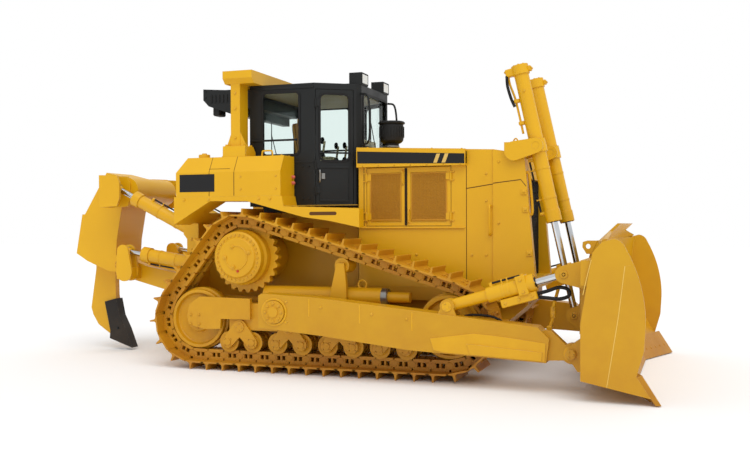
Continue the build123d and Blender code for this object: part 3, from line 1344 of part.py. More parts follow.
def make_ripper_bracket():
    """Rear mounting plates with the ripper pins."""
    outline = [
        (CASE_REAR_X, 800), (CASE_REAR_X, 1850), (-1870, 1780), (-1965, 1700), (-1965, 1620), (-1915, 1560),
        (-1915, 1340), (-1965, 1290), (-1965, 1190), (-1900, 1120), (-1985, 1000), (-1985, 900), (-1890, 850),
    ]
    bracket = block(CASE_REAR_X - 40, CASE_REAR_X, -723, 723, 820, 1850)
    for side in SIDES:
        reach = RIPPER_BARREL_RADIUS + SIDE_GAP
        for y in (RIPPER_CYLINDER_Y - reach - 32, RIPPER_CYLINDER_Y + reach):
            bracket += mirrored_slab(side_face(outline), y, y + 32, side)
        low, high = sorted((side * (RIPPER_CYLINDER_Y - reach - 32), side * (RIPPER_CYLINDER_Y + reach + 32)))
        bracket += cross_bar(RIPPER_TILT_PIN_X, RIPPER_TILT_PIN_Z, 40, low, high)
        bracket += cross_bar(RIPPER_LIFT_PIN_X, RIPPER_LIFT_PIN_Z, 40, low, high)
        low, high = sorted((side * 270, side * (RIPPER_CYLINDER_Y - reach)))
        bracket += cross_bar(RIPPER_ARM_PIN_X, RIPPER_ARM_PIN_Z, RIPPER_PIN_RADIUS, low, high)
        lug = side_face([(CASE_REAR_X, 820), (CASE_REAR_X, 1080), (-1870, 1060), (-1980, 1000), (-1980, 900), (-1890, 850)])
        bracket += mirrored_slab(lug, 262, 294, side)
    return bracket


def make_ripper_arm():
    """Drag arm: two side members joined by a cross plate."""
    side_outline = side_face([
        (RIPPER_ARM_PIN_X, RIPPER_ARM_PIN_Z - 95), (-2334, 863), (-3083, 1053), (-3180, 1120), (-3200, 1220),
        (-3140, 1310), (-3000, 1300), (-2700, 1190), (-2000, 1060), (RIPPER_ARM_PIN_X, RIPPER_ARM_PIN_Z + 95),
    ])
    side_outline += Pos(RIPPER_ARM_PIN_X, RIPPER_ARM_PIN_Z) * Circle(95)
    arm = None
    ear = rounded_hull([(RIPPER_LIFT_EYE_X, RIPPER_LIFT_EYE_Z, 85), (-2890, 1120, 120)])
    for side in SIDES:
        member = mirrored_slab(side_outline, ARM_SIDE_INNER + SIDE_GAP, ARM_SIDE_OUTER, side)
        for y in (RIPPER_CYLINDER_Y - 91, RIPPER_CYLINDER_Y + 56):
            member += mirrored_slab(ear, y, y + 35, side)
        low, high = sorted((side * (ARM_SIDE_OUTER - 10), side * (RIPPER_CYLINDER_Y + 91)))
        member += block(-3000, -2790, low, high, 1030, 1180)
        arm = member if arm is None else arm + member
    arm += plate([(-2080, 905), (-2700, 1000), (-2700, 1090), (-2080, 1010)], -ARM_SIDE_OUTER + 20,
                 ARM_SIDE_OUTER - 20)
    arm -= cross_bar(RIPPER_ARM_PIN_X, RIPPER_ARM_PIN_Z, RIPPER_PIN_RADIUS + PIN_FIT, -900, 900)
    arm -= cross_bar(RIPPER_BEAM_PIN_X, RIPPER_BEAM_PIN_Z, RIPPER_PIN_RADIUS + PIN_FIT, -900, 900)
    return arm


def make_ripper_pin():
    """Pin between drag arm and ripper beam."""
    reach = ARM_SIDE_OUTER + 12
    pin = cross_bar(RIPPER_BEAM_PIN_X, RIPPER_BEAM_PIN_Z, RIPPER_PIN_RADIUS, -reach, reach)
    pin += cross_bar(RIPPER_BEAM_PIN_X, RIPPER_BEAM_PIN_Z, RIPPER_PIN_RADIUS + 22, -reach - 20, -reach)
    pin += cross_bar(RIPPER_BEAM_PIN_X, RIPPER_BEAM_PIN_Z, RIPPER_PIN_RADIUS + 22, reach, reach + 20)
    return pin


def make_ripper_beam():
    """Ripper beam: shank box, top cross tube and cylinder ears."""
    outline = [
        (-3429, 2463), (-3141, 2392), (-3195, 1949), (-3270, 1547), (-3284, 1330), (-3000, 1180), (-3050, 1110),
        (-3284, 1100), (-3429, 1116), (-3752, 1245), (-3932, 1350), (-3832, 1892), (-3789, 1892),
    ]
    beam = plate(outline, -BEAM_HALF_WIDTH, BEAM_HALF_WIDTH)
    beam += cross_bar(RIPPER_BEAM_PIN_X, RIPPER_BEAM_PIN_Z, 92, -BEAM_HALF_WIDTH, BEAM_HALF_WIDTH)
    beam += cross_bar(-2990, 2200, 180, -RIPPER_CYLINDER_Y + 130, RIPPER_CYLINDER_Y - 130)
    beam += plate([(-3300, 2000), (-2990, 2020), (-2990, 2380), (-3141, 2392), (-3300, 2420)],
                  -BEAM_HALF_WIDTH, BEAM_HALF_WIDTH)
    ear = side_face([(BEAM_WEB_X, 1977), (-2960, 1990), (-2920, 2100), (-2920, 2300), (-2960, 2390), (BEAM_WEB_X, 2402)])
    reach = RIPPER_BARREL_RADIUS + 14 + SIDE_GAP
    for side in SIDES:
        for y in (RIPPER_CYLINDER_Y - reach - 35, RIPPER_CYLINDER_Y + reach):
            beam += mirrored_slab(ear, y, y + 35, side)
        low, high = sorted((side * (RIPPER_CYLINDER_Y - reach - 35), side * (RIPPER_CYLINDER_Y + reach + 35)))
        beam += block(BEAM_WEB_X - 50, BEAM_WEB_X, low, high, 1977, 2402)
    beam -= cross_bar(RIPPER_BEAM_PIN_X, RIPPER_BEAM_PIN_Z, RIPPER_PIN_RADIUS + PIN_FIT, -900, 900)
    beam -= block(-3830, -3465, -SHANK_HALF_THICKNESS - SEAT_GAP, SHANK_HALF_THICKNESS + SEAT_GAP, 900, 1900)
    return beam


def make_ripper_shank():
    """Curved ripper shank in the beam's pocket."""
    half = SHANK_HALF_THICKNESS
    return plate([
        (-3800, 1880), (-3480, 1880), (-3475, 1005), (-3470, 760), (-3395, 321), (-3430, 250), (-3555, 207),
        (-3760, 340), (-3850, 480), (-3880, 578), (-3794, 1124),
    ], -half, half)


def make_ripper_tip():
    """Wear shield and pointed tip on the shank."""
    half = SHANK_HALF_THICKNESS + 30
    shield = plate([(-3636, 666), (-3445, 715), (-3395, 480), (-3300, 300), (-3192, 32), (-3555, 153), (-3545, 260)],
                   -half, half)
    return shield - make_ripper_shank()


def cylinder_pair(pin, eye, radius, start, end, y_offset):
    """Barrels of a cylinder pair: rear eye, tube and gland."""
    pieces = []
    for side in SIDES:
        y = side * y_offset
        barrel = cross_bar(pin[0], pin[1], 78, y - 74, y + 74)
        barrel += bar(spot(along(pin, eye, 30), y), spot(along(pin, eye, end), y), radius)
        barrel += bar(spot(along(pin, eye, end - 110), y), spot(along(pin, eye, end), y), radius + 14)
        barrel -= cross_bar(pin[0], pin[1], 40 + PIN_FIT, -900, 900)
        barrel -= bar(spot(along(pin, eye, start), y), spot(along(pin, eye, end - 60), y), 62)
        barrel -= bar(spot(along(pin, eye, end - 80), y), spot(along(pin, eye, end + 10), y),
                      RIPPER_ROD_RADIUS + PIN_FIT)
        pieces.append(barrel)
    return pieces


def rod_pair(pin, eye, piston, y_offset):
    """Rods of a cylinder pair: piston, rod and eye."""
    reach = hypot(eye[0] - pin[0], eye[1] - pin[1])
    pieces = []
    for side in SIDES:
        y = side * y_offset
        rod = bar(spot(along(pin, eye, piston + 50), y), spot(along(pin, eye, reach - 20), y), RIPPER_ROD_RADIUS)
        rod += bar(spot(along(pin, eye, piston), y), spot(along(pin, eye, piston + 60), y), 62 - PIN_FIT)
        rod += cross_bar(eye[0], eye[1], 60, y - 48, y + 48)
        pieces.append(rod)
    return pieces


def write(name, shape):
    """Write one node as a STEP file."""
    if isinstance(shape, (list, tuple)):
        solids = []
        for piece in shape:
            solids += list(piece.solids())
        shape = Compound(children=solids)
    export_step(shape, f"parts/{name}.step")


def main():
    """Build and write every node."""
    os.makedirs("parts", exist_ok=True)
    tilt_pin = (RIPPER_TILT_PIN_X, RIPPER_TILT_PIN_Z)
    tilt_eye = (RIPPER_TILT_EYE_X, RIPPER_TILT_EYE_Z)
    lift_pin = (RIPPER_LIFT_PIN_X, RIPPER_LIFT_PIN_Z)
    lift_eye = (RIPPER_LIFT_EYE_X, RIPPER_LIFT_EYE_Z)
    nodes = {
        "track_right": make_track(-1),
        "track_left": make_track(1),
        "sprockets": both(make_sprocket),
        "final_drives": both(make_final_drive),
        "idlers": [make_idler(x, side) for side in SIDES for x in (IDLER_REAR_X, IDLER_FRONT_X)],
        "track_rollers": make_rollers(),
        "carrier_rollers": make_carriers(),
        "bogie_plates": make_bogies(),
        "track_frames": both(make_track_frame),
        "arm_trunnions": make_trunnions(),
        "main_case": make_main_case(),
        "engine_block": make_engine(),
        "hood": make_hood(),
        "radiator_guard": make_nose(),
        "front_grille": make_grille(),
        "precleaner": make_precleaner(),
        "cab_shell": make_cab(),
        "cab_glass": make_cab_glass(),
        "seat": make_seat(),
        "console": make_console(),
        "ac_unit": make_ac_unit(),
        "rops_bar": make_rops(),
        "fender_tanks": make_tanks(),
        "fenders": make_fenders(),
        "roof_lamps": make_lamps(),
        "lift_yokes": make_yokes(),
        "lift_barrels": both(make_lift_barrel),
        "lift_rods": both(make_lift_rod),
        "push_arm_right": make_push_arm(-1),
        "push_arm_left": make_push_arm(1),
        "blade": make_blade(),
        "blade_frame": make_blade_frame(),
        "blade_lugs": make_blade_lugs(),
        "cutting_edge": make_cutting_edge(),
        "tilt_barrels": both(make_tilt_barrel),
        "tilt_rods": both(make_tilt_rod),
        "ripper_bracket": make_ripper_bracket(),
        "ripper_arm": make_ripper_arm(),
        "ripper_pin": make_ripper_pin(),
        "ripper_beam": make_ripper_beam(),
        "ripper_shank": make_ripper_shank(),
        "ripper_tip": make_ripper_tip(),
        "ripper_tilt_barrels": cylinder_pair(tilt_pin, tilt_eye, RIPPER_BARREL_RADIUS, 380, 985, RIPPER_CYLINDER_Y),
        "ripper_tilt_rods": rod_pair(tilt_pin, tilt_eye, 560, RIPPER_CYLINDER_Y),
        "ripper_lift_barrels": cylinder_pair(lift_pin, lift_eye, RIPPER_BARREL_RADIUS, 160, 760, RIPPER_CYLINDER_Y),
        "ripper_lift_rods": rod_pair(lift_pin, lift_eye, 420, RIPPER_CYLINDER_Y),
    }
    for side, word in ((-1, "right"), (1, "left")):
        nodes[f"engine_door_rear_{word}"] = make_engine_door(DOOR_REAR_X, DOOR_MIDDLE_X - 3, side)
        nodes[f"engine_door_front_{word}"] = make_engine_door(DOOR_MIDDLE_X + 3, DOOR_FRONT_X, side)
        nodes[f"cab_door_{word}"] = make_cab_door(side)
        nodes[f"door_glass_{word}"] = make_door_glass(side)
    for name, shape in nodes.items():
        write(name, shape)


main()
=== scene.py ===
"""Looks of a crawler bulldozer: finishes, fittings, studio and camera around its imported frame.

Units are metres. +X points forward, +Y to the machine's left, +Z up. Paired pieces are
written for the left side, at positive Y, and mirrored for the right side, which the camera sees.
"""
from __future__ import annotations

import json
import logging
import math
from dataclasses import dataclass, field
from enum import Enum
from functools import cache
from itertools import pairwise, product
from typing import Iterable, Iterator, Sequence

import bmesh
import bpy
from bpy.types import Material, Node, NodeSocket, NodeTree, Object
from mathutils import Matrix, Vector

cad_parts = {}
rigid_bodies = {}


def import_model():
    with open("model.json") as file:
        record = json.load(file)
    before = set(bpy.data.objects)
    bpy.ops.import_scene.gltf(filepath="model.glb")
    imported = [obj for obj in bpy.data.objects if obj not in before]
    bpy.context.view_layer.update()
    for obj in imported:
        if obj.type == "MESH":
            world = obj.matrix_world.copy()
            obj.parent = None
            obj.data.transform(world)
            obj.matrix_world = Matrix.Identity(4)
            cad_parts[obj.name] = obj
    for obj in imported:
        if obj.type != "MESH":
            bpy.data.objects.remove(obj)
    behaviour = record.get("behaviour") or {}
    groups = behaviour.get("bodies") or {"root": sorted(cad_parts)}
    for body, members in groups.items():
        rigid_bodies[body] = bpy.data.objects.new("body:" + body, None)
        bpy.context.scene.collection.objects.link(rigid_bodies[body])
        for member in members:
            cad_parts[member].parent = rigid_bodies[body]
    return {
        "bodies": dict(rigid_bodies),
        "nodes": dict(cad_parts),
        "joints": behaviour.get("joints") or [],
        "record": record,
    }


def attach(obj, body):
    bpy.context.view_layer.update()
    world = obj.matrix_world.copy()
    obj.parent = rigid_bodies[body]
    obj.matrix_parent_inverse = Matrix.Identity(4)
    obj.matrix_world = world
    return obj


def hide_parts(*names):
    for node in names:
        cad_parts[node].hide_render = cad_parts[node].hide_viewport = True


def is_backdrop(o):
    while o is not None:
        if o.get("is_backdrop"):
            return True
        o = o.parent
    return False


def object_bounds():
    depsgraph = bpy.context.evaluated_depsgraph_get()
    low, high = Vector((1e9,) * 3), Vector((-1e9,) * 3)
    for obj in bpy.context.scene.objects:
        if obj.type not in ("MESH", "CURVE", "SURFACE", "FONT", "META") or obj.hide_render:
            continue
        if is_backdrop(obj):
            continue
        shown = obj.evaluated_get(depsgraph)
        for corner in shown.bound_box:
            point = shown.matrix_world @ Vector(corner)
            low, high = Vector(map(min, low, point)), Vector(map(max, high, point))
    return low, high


LOG = logging.getLogger("bulldozer")
SMOOTH_LIMIT = math.radians(32)
COAT_ROUGHNESS = 0.3
SPECULAR = 0.35
FORWARD, OUT, UP = Vector((1, 0, 0)), Vector((0, 1, 0)), Vector((0, 0, 1))

Point = Sequence[float]
Spots = tuple[tuple[float, float], ...]
Route = tuple[tuple[float, float, float], ...]
Colour = tuple[int, int, int]


class Side(Enum):
    """One side of the machine, as the sign of its Y."""

    RIGHT = -1
    LEFT = 1

    @property
    def label(self) -> str:
        """Plain word for piece names."""
        return self.name.lower()


def linear(colour: Sequence[float]) -> tuple[float, float, float, float]:
    """Turn a written 0-255 colour into the linear colour that a shader takes.

    Args:
        colour: red, green and blue, each from 0 to 255.

    Returns:
        The linear colour with full alpha.
    """
    shares = [value / 255 for value in colour]
    red, green, blue = (s / 12.92 if s <= 0.04045 else ((s + 0.055) / 1.055) ** 2.4 for s in shares)
    return (red, green, blue, 1.0)


# Shader effects that several finishes share

def wired(tree: NodeTree, kind: str, inputs: dict | None = None, **settings: object) -> Node:
    """Place a shader node, with constants set and sockets linked.

    Args:
        tree: the tree that gets the node.
        kind: the node's type, without its ShaderNode prefix.
        inputs: a constant or a source socket, by input name or number.
        settings: the node's own properties.

    Returns:
        The node.
    """
    node = tree.nodes.new(f"ShaderNode{kind}")
    for label, value in settings.items():
        setattr(node, label, value)
    for label, value in (inputs or {}).items():
        if isinstance(value, NodeSocket):
            tree.links.new(value, node.inputs[label])
        else:
            node.inputs[label].default_value = value
    return node


def noise(tree: NodeTree, scale: float | NodeSocket, detail: float, rough: float) -> NodeSocket:
    """Noise on the piece's own coordinates: scale per metre, octaves and their roughness.

    Args:
        tree: the node tree that takes the nodes.
        scale: scale of the noise.
        detail: its detail.
        rough: its roughness.

    Returns:
        The socket that carries the result.
    """
    place = wired(tree, "TexCoord").outputs["Object"]
    settings = {"Vector": place, "Scale": scale, "Detail": detail, "Roughness": rough}
    return wired(tree, "TexNoise", settings).outputs["Fac"]


def mapped(tree: NodeTree, value: NodeSocket, low: float | NodeSocket, high: float,
           to_low: float | NodeSocket = 0.0, to_high: float | NodeSocket = 1.0) -> NodeSocket:
    """Map a value from one range to another, clamped.

    Args:
        tree: the tree that gets the node.
        value: the value's socket.
        low: start of the range.
        high: end of the range.
        to_low: result at the start.
        to_high: result at the end.

    Returns:
        The mapped value's socket.
    """
    limits = {"Value": value, "From Min": low, "From Max": high, "To Min": to_low, "To Max": to_high}
    return wired(tree, "MapRange", limits).outputs["Result"]


def times(tree: NodeTree, first: NodeSocket, second: NodeSocket) -> NodeSocket:
    """Product of two values."""
    return wired(tree, "Math", {0: first, 1: second}, operation="MULTIPLY").outputs[0]


def mixed(tree: NodeTree, share: NodeSocket, first: NodeSocket, second: NodeSocket | Point) -> NodeSocket:
    """Colour between two others: share 0 gives the first, 1 the second."""
    return wired(tree, "Mix", {"Factor": share, "A": first, "B": second},
                 data_type="RGBA").outputs["Result"]


class Effect:
    """Node group under construction, with named sockets."""

    KINDS = {**dict.fromkeys(("Colour", "Second", "Dust", "Thread"), "NodeSocketColor"),
             "Normal": "NodeSocketVector"}

    def __init__(self, name: str, takes: str, gives: str) -> None:
        """Make the group.

        Args:
            name: the group's name.
            takes: input names, apart by spaces.
            gives: output names, apart by spaces.
        """
        self.tree = bpy.data.node_groups.new(name, "ShaderNodeTree")
        for labels, way in ((takes, "INPUT"), (gives, "OUTPUT")):
            for label in labels.split():
                kind = self.KINDS.get(label, "NodeSocketFloat")
                self.tree.interface.new_socket(label, in_out=way, socket_type=kind)
        self.start = self.tree.nodes.new("NodeGroupInput").outputs
        self.end = self.tree.nodes.new("NodeGroupOutput").inputs

    def give(self, **sockets: NodeSocket) -> NodeTree:
        """Link the outputs and return the finished tree.

        Returns:
            The node group.
        """
        for label, socket in sockets.items():
            self.tree.links.new(socket, self.end[label])
        return self.tree


@cache
def tone() -> NodeTree:
    """Slow change between two tones of one colour.

    Returns:
        The node group.
    """
    made = Effect("tone", "Colour Second Amount", "Colour")
    tree, start = made.tree, made.start
    share = mapped(tree, noise(tree, 1.7, 3.0, 0.55), 0.35, 0.68)
    share = times(tree, share, start["Amount"])
    return made.give(Colour=mixed(tree, share, start["Colour"], start["Second"]))


@cache
def dust() -> NodeTree:
    """Colour that thickens towards the ground and in patches: painted shade where it darkens a finish, pale
    dusting where it lightens one.

    Returns:
        The node group.
    """
    made = Effect("dust", "Colour Dust Height Amount", "Colour Mask")
    tree, start = made.tree, made.start
    split = wired(tree, "SeparateXYZ", {"Vector": wired(tree, "TexCoord").outputs["Object"]})
    low = mapped(tree, split.outputs["Z"], start["Height"], 0.0)
    patches = mapped(tree, noise(tree, 5.0, 6.0, 0.62), 0.30, 0.72, 0.35, 1.0)
    share = times(tree, times(tree, patches, low), start["Amount"])
    return made.give(Colour=mixed(tree, share, start["Colour"], start["Dust"]), Mask=share)


@cache
def edges() -> NodeTree:
    """Rounded look of edges and a mask of the pale edges, part scuffing and part painted highlight.

    Returns:
        The node group.
    """
    made = Effect("edges", "Radius Amount", "Normal Mask")
    tree = made.tree
    bevel = wired(tree, "Bevel", {"Radius": made.start["Radius"]}, samples=4).outputs["Normal"]
    surface = wired(tree, "NewGeometry").outputs["Normal"]
    dot = wired(tree, "VectorMath", {0: bevel, 1: surface}, operation="DOT_PRODUCT")
    # Edge share from the bevel: pale edges that are part scuffing, part painted highlight
    worn = mapped(tree, dot.outputs["Value"], 0.995, 0.86)
    patchiness = mapped(tree, noise(tree, 22.0, 4.0, 0.6), 0.38, 0.60)
    return made.give(Normal=bevel, Mask=times(tree, times(tree, worn, patchiness), made.start["Amount"]))


@cache
def grain() -> NodeTree:
    """Fine surface relief and the gloss change that goes with it.

    Returns:
        The node group.
    """
    made = Effect("grain", "Scale Smooth Dull", "Height Roughness")
    tree, start = made.tree, made.start
    gloss = mapped(tree, noise(tree, 3.1, 5.0, 0.6), 0.3, 0.7, start["Smooth"], start["Dull"])
    return made.give(Height=noise(tree, start["Scale"], 2.0, 0.5), Roughness=gloss)


@cache
def weave() -> NodeTree:
    """Crossed threads of a seat cloth.

    Returns:
        The node group.
    """
    made = Effect("weave", "Colour Thread Scale", "Colour Height")
    tree, start = made.tree, made.start
    place = wired(tree, "TexCoord").outputs["Object"]
    waves = [wired(tree, "TexWave", {"Vector": place, "Scale": start["Scale"]},
                   bands_direction=way).outputs["Fac"]
             for way in ("X", "Z")]
    height = times(tree, *waves)
    return made.give(Colour=mixed(tree, height, start["Colour"], start["Thread"]), Height=height)


# Finishes

@dataclass(frozen=True)
class Finish:
    """What every finish has: its name, the record's slot, and its plain look."""

    name: str
    slot: str
    colour: Colour
    roughness: float = 0.5
    metallic: float = 0.0
    coat: float = 0.0

    def material(self) -> Material:
        """Build the material once and return it.

        Returns:
            The material.
        """
        known = bpy.data.materials.get(self.name)
        if known is not None:
            return known
        material = bpy.data.materials.new(self.name)
        material.use_nodes = True
        material.diffuse_color = linear(self.colour)
        shader = material.node_tree.nodes["Principled BSDF"]
        look = {"Base Color": linear(self.colour), "Roughness": self.roughness, "Metallic": self.metallic,
                "Coat Weight": self.coat, "Coat Roughness": COAT_ROUGHNESS, "Specular IOR Level": SPECULAR}
        for label, value in look.items():
            shader.inputs[label].default_value = value
        self.dress(material.node_tree, shader)
        return material

    def dress(self, tree: NodeTree, shader: Node) -> None:
        """Add the nodes that this kind of finish has."""
        raise NotImplementedError

    def effect(self, tree: NodeTree, group: NodeTree, **values: object) -> Node:
        """Place an effect group with its own constants and source sockets."""
        return wired(tree, "Group", values, node_tree=group)

    def relief(self, tree: NodeTree, shader: Node, scale: float, strength: float, radius: float,
               wear: float = 1.0) -> NodeSocket:
        """Grain, gloss change and rounded edges.

        Args:
            tree: the material's tree.
            shader: the Principled BSDF.
            scale: grain scale per metre.
            strength: height of the grain.
            radius: look of the edge rounding.
            wear: how much of the edges takes the pale edge colour, part scuffing and part painted highlight.

        Returns:
            The mask of the pale edges, part scuffing and part painted highlight.
        """
        skin = self.effect(tree, grain(), Scale=scale, Smooth=self.roughness * 0.85,
                           Dull=min(1.0, self.roughness * 1.2)).outputs
        rims = self.effect(tree, edges(), Radius=radius, Amount=wear).outputs
        bump = wired(tree, "Bump", {"Strength": strength, "Distance": 0.002, "Height": skin["Height"],
                                    "Normal": rims["Normal"]})
        tree.links.new(bump.outputs["Normal"], shader.inputs["Normal"])
        tree.links.new(skin["Roughness"], shader.inputs["Roughness"])
        return rims["Mask"]


@dataclass(frozen=True)
class Paint(Finish):
    """Enamel with a second tone, a colour that thickens from below (painted shade on the yellow enamels,
    pale dusting on the black) and pale edges (painted highlight and scuffing).
    """

    second: Colour = (200, 140, 30)
    # Colour towards the ground: darker brown on the yellow enamels is painted shade; pale on the black
    # enamel is dusting
    dust: Colour = (160, 104, 48)
    dust_height: float = 1.5
    dust_amount: float = 0.1
    # Pale edge colour: painted highlight on the yellow enamels, scuffing on the black enamel and the ripper
    # tip
    worn: Colour = (238, 205, 130)
    wear: float = 0.0

    def dress(self, tree: NodeTree, shader: Node) -> None:
        """Chain the tones, the colour from below (painted shade on yellow, pale dusting on black) and the
        pale edges (painted highlight and scuffing) into the base colour.

        Args:
            tree: the node tree that takes the nodes.
            shader: the shader that the finish feeds.
        """
        mask = self.relief(tree, shader, 190.0, 0.06, 0.006, self.wear)
        tones = self.effect(tree, tone(), Colour=linear(self.colour), Second=linear(self.second),
                            Amount=0.55)
        # Painted shade darkens the yellow enamels towards the ground; on the black enamel this adds pale
        # dusting
        dusted_and_shaded = self.effect(tree, dust(), Colour=tones.outputs["Colour"], Dust=linear(self.dust),
                            Height=self.dust_height, Amount=self.dust_amount)
        # Pale edges mixed in: painted highlight on the yellow enamels, scuffing on the darker finishes
        colour = mixed(tree, mask, dusted_and_shaded.outputs["Colour"], linear(self.worn))
        tree.links.new(colour, shader.inputs["Base Color"])


@dataclass(frozen=True)
class Metal(Finish):
    """Bare or plated steel with faint streaks."""

    def dress(self, tree: NodeTree, shader: Node) -> None:
        """Add the fine grain and a darker tone.

        Args:
            tree: the node tree that takes the nodes.
            shader: the shader that the finish feeds.
        """
        self.relief(tree, shader, 400.0, 0.03, 0.003)
        darker = [int(value * 0.82) for value in self.colour]
        tones = self.effect(tree, tone(), Colour=linear(self.colour), Second=linear(darker), Amount=0.8)
        tree.links.new(tones.outputs["Colour"], shader.inputs["Base Color"])


@dataclass(frozen=True)
class Moulded(Finish):
    """Moulded plastic or rubber with a grained skin and pale dust."""

    grain_scale: float = 320.0
    dust_amount: float = 0.0

    def dress(self, tree: NodeTree, shader: Node) -> None:
        """Add the grain and a light dust.

        Args:
            tree: the node tree that takes the nodes.
            shader: the shader that the finish feeds.
        """
        self.relief(tree, shader, self.grain_scale, 0.16, 0.003)
        dusted_and_shaded = self.effect(tree, dust(), Colour=linear(self.colour), Dust=linear((120, 104, 84)),
                            Height=4.5,
                            Amount=self.dust_amount)
        tree.links.new(dusted_and_shaded.outputs["Colour"], shader.inputs["Base Color"])


@dataclass(frozen=True)
class Cloth(Finish):
    """Woven seat cloth."""

    thread: Colour = (150, 118, 82)

    def dress(self, tree: NodeTree, shader: Node) -> None:
        """Add the weave's colour and height.

        Args:
            tree: the node tree that takes the nodes.
            shader: the shader that the finish feeds.
        """
        threads = self.effect(tree, weave(), Colour=linear(self.colour), Thread=linear(self.thread),
                              Scale=90.0)
        bump = wired(tree, "Bump", {"Strength": 0.4, "Distance": 0.003,
                                    "Height": threads.outputs["Height"]})
        shader.inputs["Sheen Weight"].default_value = 0.3
        tree.links.new(threads.outputs["Colour"], shader.inputs["Base Color"])
        tree.links.new(bump.outputs["Normal"], shader.inputs["Normal"])


@dataclass(frozen=True)
class Glass(Finish):
    """Clear window glass."""

    def dress(self, tree: NodeTree, shader: Node) -> None:
        """Set the clear, thin pane with a faint, uneven film on it.

        Args:
            tree: the node tree that takes the nodes.
            shader: the shader that the finish feeds.
        """
        shader.inputs["Transmission Weight"].default_value = 1.0
        shader.inputs["IOR"].default_value = 1.1
        film = self.effect(tree, grain(), Scale=60.0, Smooth=0.0, Dull=self.roughness * 2.0)
        tree.links.new(film.outputs["Roughness"], shader.inputs["Roughness"])


@dataclass(frozen=True)
class FinishBook:
    """Every finish on the machine."""

    # Yellow enamels: the third colour is painted shade towards the ground and the pale edges are painted
    # highlight; black and tip get pale dusting and scuffed edges
    yellow: Paint = Paint("yellow_enamel", "yellow_paint", (226, 172, 4), 0.40, 0.0, 0.12, (218, 162, 4),
                          (188, 126, 28), 1.3, 0.45, wear=0.35)
    under: Paint = Paint("undercarriage_enamel", "yellow_paint", (218, 163, 8), 0.46, 0.0, 0.1,
                         (206, 149, 8),
                         (158, 90, 30), 1.2, 0.6, wear=0.35)
    track: Paint = Paint("track_enamel", "track_steel", (207, 150, 16), 0.5, 0.0, 0.1, (182, 119, 22),
                         (142, 78, 30), 1.4, 0.6, (224, 178, 84), 0.5)
    blade: Paint = Paint("blade_enamel", "yellow_paint", (209, 157, 8), 0.42, 0.0, 0.12, (198, 144, 8),
                         (172, 106, 24), 1.6, 0.45, wear=0.35)
    edge: Paint = Paint("edge_enamel", "edge_steel", (202, 142, 16), 0.45, 0.2, 0.1, (180, 118, 24),
                        (146, 92, 36), 0.8, 0.5, wear=0.7)
    mesh: Paint = Paint("grille_enamel", "yellow_paint", (204, 144, 20), 0.5, 0.0, 0.1, (192, 130, 18))
    # Darker yellow behind the grille wires: painted shade
    mesh_shade: Paint = Paint("grille_shade", "yellow_paint", (178, 122, 30), 0.7, second=(162, 108, 26))
    groove: Paint = Paint("panel_groove", "yellow_paint", (96, 58, 14), 0.7, second=(84, 50, 12))
    # Pale colour of the lines on the welded seams: painted highlight
    weld: Paint = Paint("weld_bead", "yellow_paint", (236, 196, 96), second=(226, 184, 84))
    black: Paint = Paint("black_enamel", "black_paint", (17, 20, 20), 0.5, 0.0, 0.05, (13, 15, 15),
                         (80, 72, 58), 3.2, 0.06, (58, 60, 58), 0.3)
    stripe: Paint = Paint("stripe_black", "black_paint", (16, 16, 17), second=(20, 19, 20))
    pale_mark: Paint = Paint("stripe_mark", "yellow_paint", (222, 186, 100), 0.45, 0.0, 0.1, (212, 174, 88))
    red: Paint = Paint("red_enamel", "yellow_paint", (196, 34, 24), 0.4, 0.0, 0.3, (178, 28, 22))
    tip: Paint = Paint("tip_enamel", "tip_steel", (26, 26, 28), 0.5, 0.4, 0.0, (44, 40, 36),
                       (110, 92, 70), 0.9, 0.3, (140, 136, 128), 0.8)
    chrome: Metal = Metal("plated_rod", "chrome_rod", (222, 226, 230), 0.12, 1.0)
    zinc: Metal = Metal("fitting_steel", "chrome_rod", (158, 158, 154), 0.35, 0.9)
    engine: Metal = Metal("engine_enamel", "engine_grey", (96, 92, 82), 0.6, 0.1)
    rubber: Moulded = Moulded("hose_rubber", "black_plastic", (10, 10, 11), 0.6, dust_amount=0.05)
    plastic: Moulded = Moulded("black_moulding", "black_plastic", (15, 16, 17), 0.55, dust_amount=0.06)
    trim: Moulded = Moulded("cab_moulding", "cab_plastic", (170, 160, 124), 0.6, grain_scale=260.0,
                            dust_amount=0.12)
    knob: Moulded = Moulded("lever_knob", "cab_plastic", (206, 104, 92), 0.4)
    cloth: Cloth = Cloth("seat_cloth", "seat_fabric", (190, 140, 66), 0.85, thread=(160, 112, 52))
    glass: Glass = Glass("window_pane", "window_glass", (240, 248, 246), 0.02)
    lens: Moulded = Moulded("lamp_lens", "window_glass", (226, 230, 226), 0.12, 0.0, 0.6)


FINISH = FinishBook()


# Mesh building

THREE_BOLT_START = {Side.LEFT: 0.0, Side.RIGHT: math.pi}


def frame_matrix(origin: Point, along: Point, up: Point = UP) -> Matrix:
    """Placement whose X axis runs along a direction and whose Z axis leans to another.

    Args:
        origin: place of its origin.
        along: direction of its X axis.
        up: direction that its Z axis follows.

    Returns:
        The placement.
    """
    x_axis = Vector(along).normalized()
    y_axis = Vector(up).cross(x_axis).normalized()
    return Matrix.Translation(Vector(origin)) @ Matrix((x_axis, y_axis,
                                                        x_axis.cross(y_axis))).transposed().to_4x4()


def turned_frame(origin: Point, axis: Vector) -> Matrix:
    """Placement whose Z axis is a turned shape's axis."""
    return Matrix.Translation(Vector(origin)) @ axis.to_track_quat("Z", "Y").to_matrix().to_4x4()


def around(count: int, radius: float, first: float = 0.0) -> list[tuple[float, float]]:
    """Points evenly around a circle, as two coordinates."""
    angles = [first + math.tau * step / count for step in range(count)]
    return [(radius * math.cos(angle), radius * math.sin(angle)) for angle in angles]


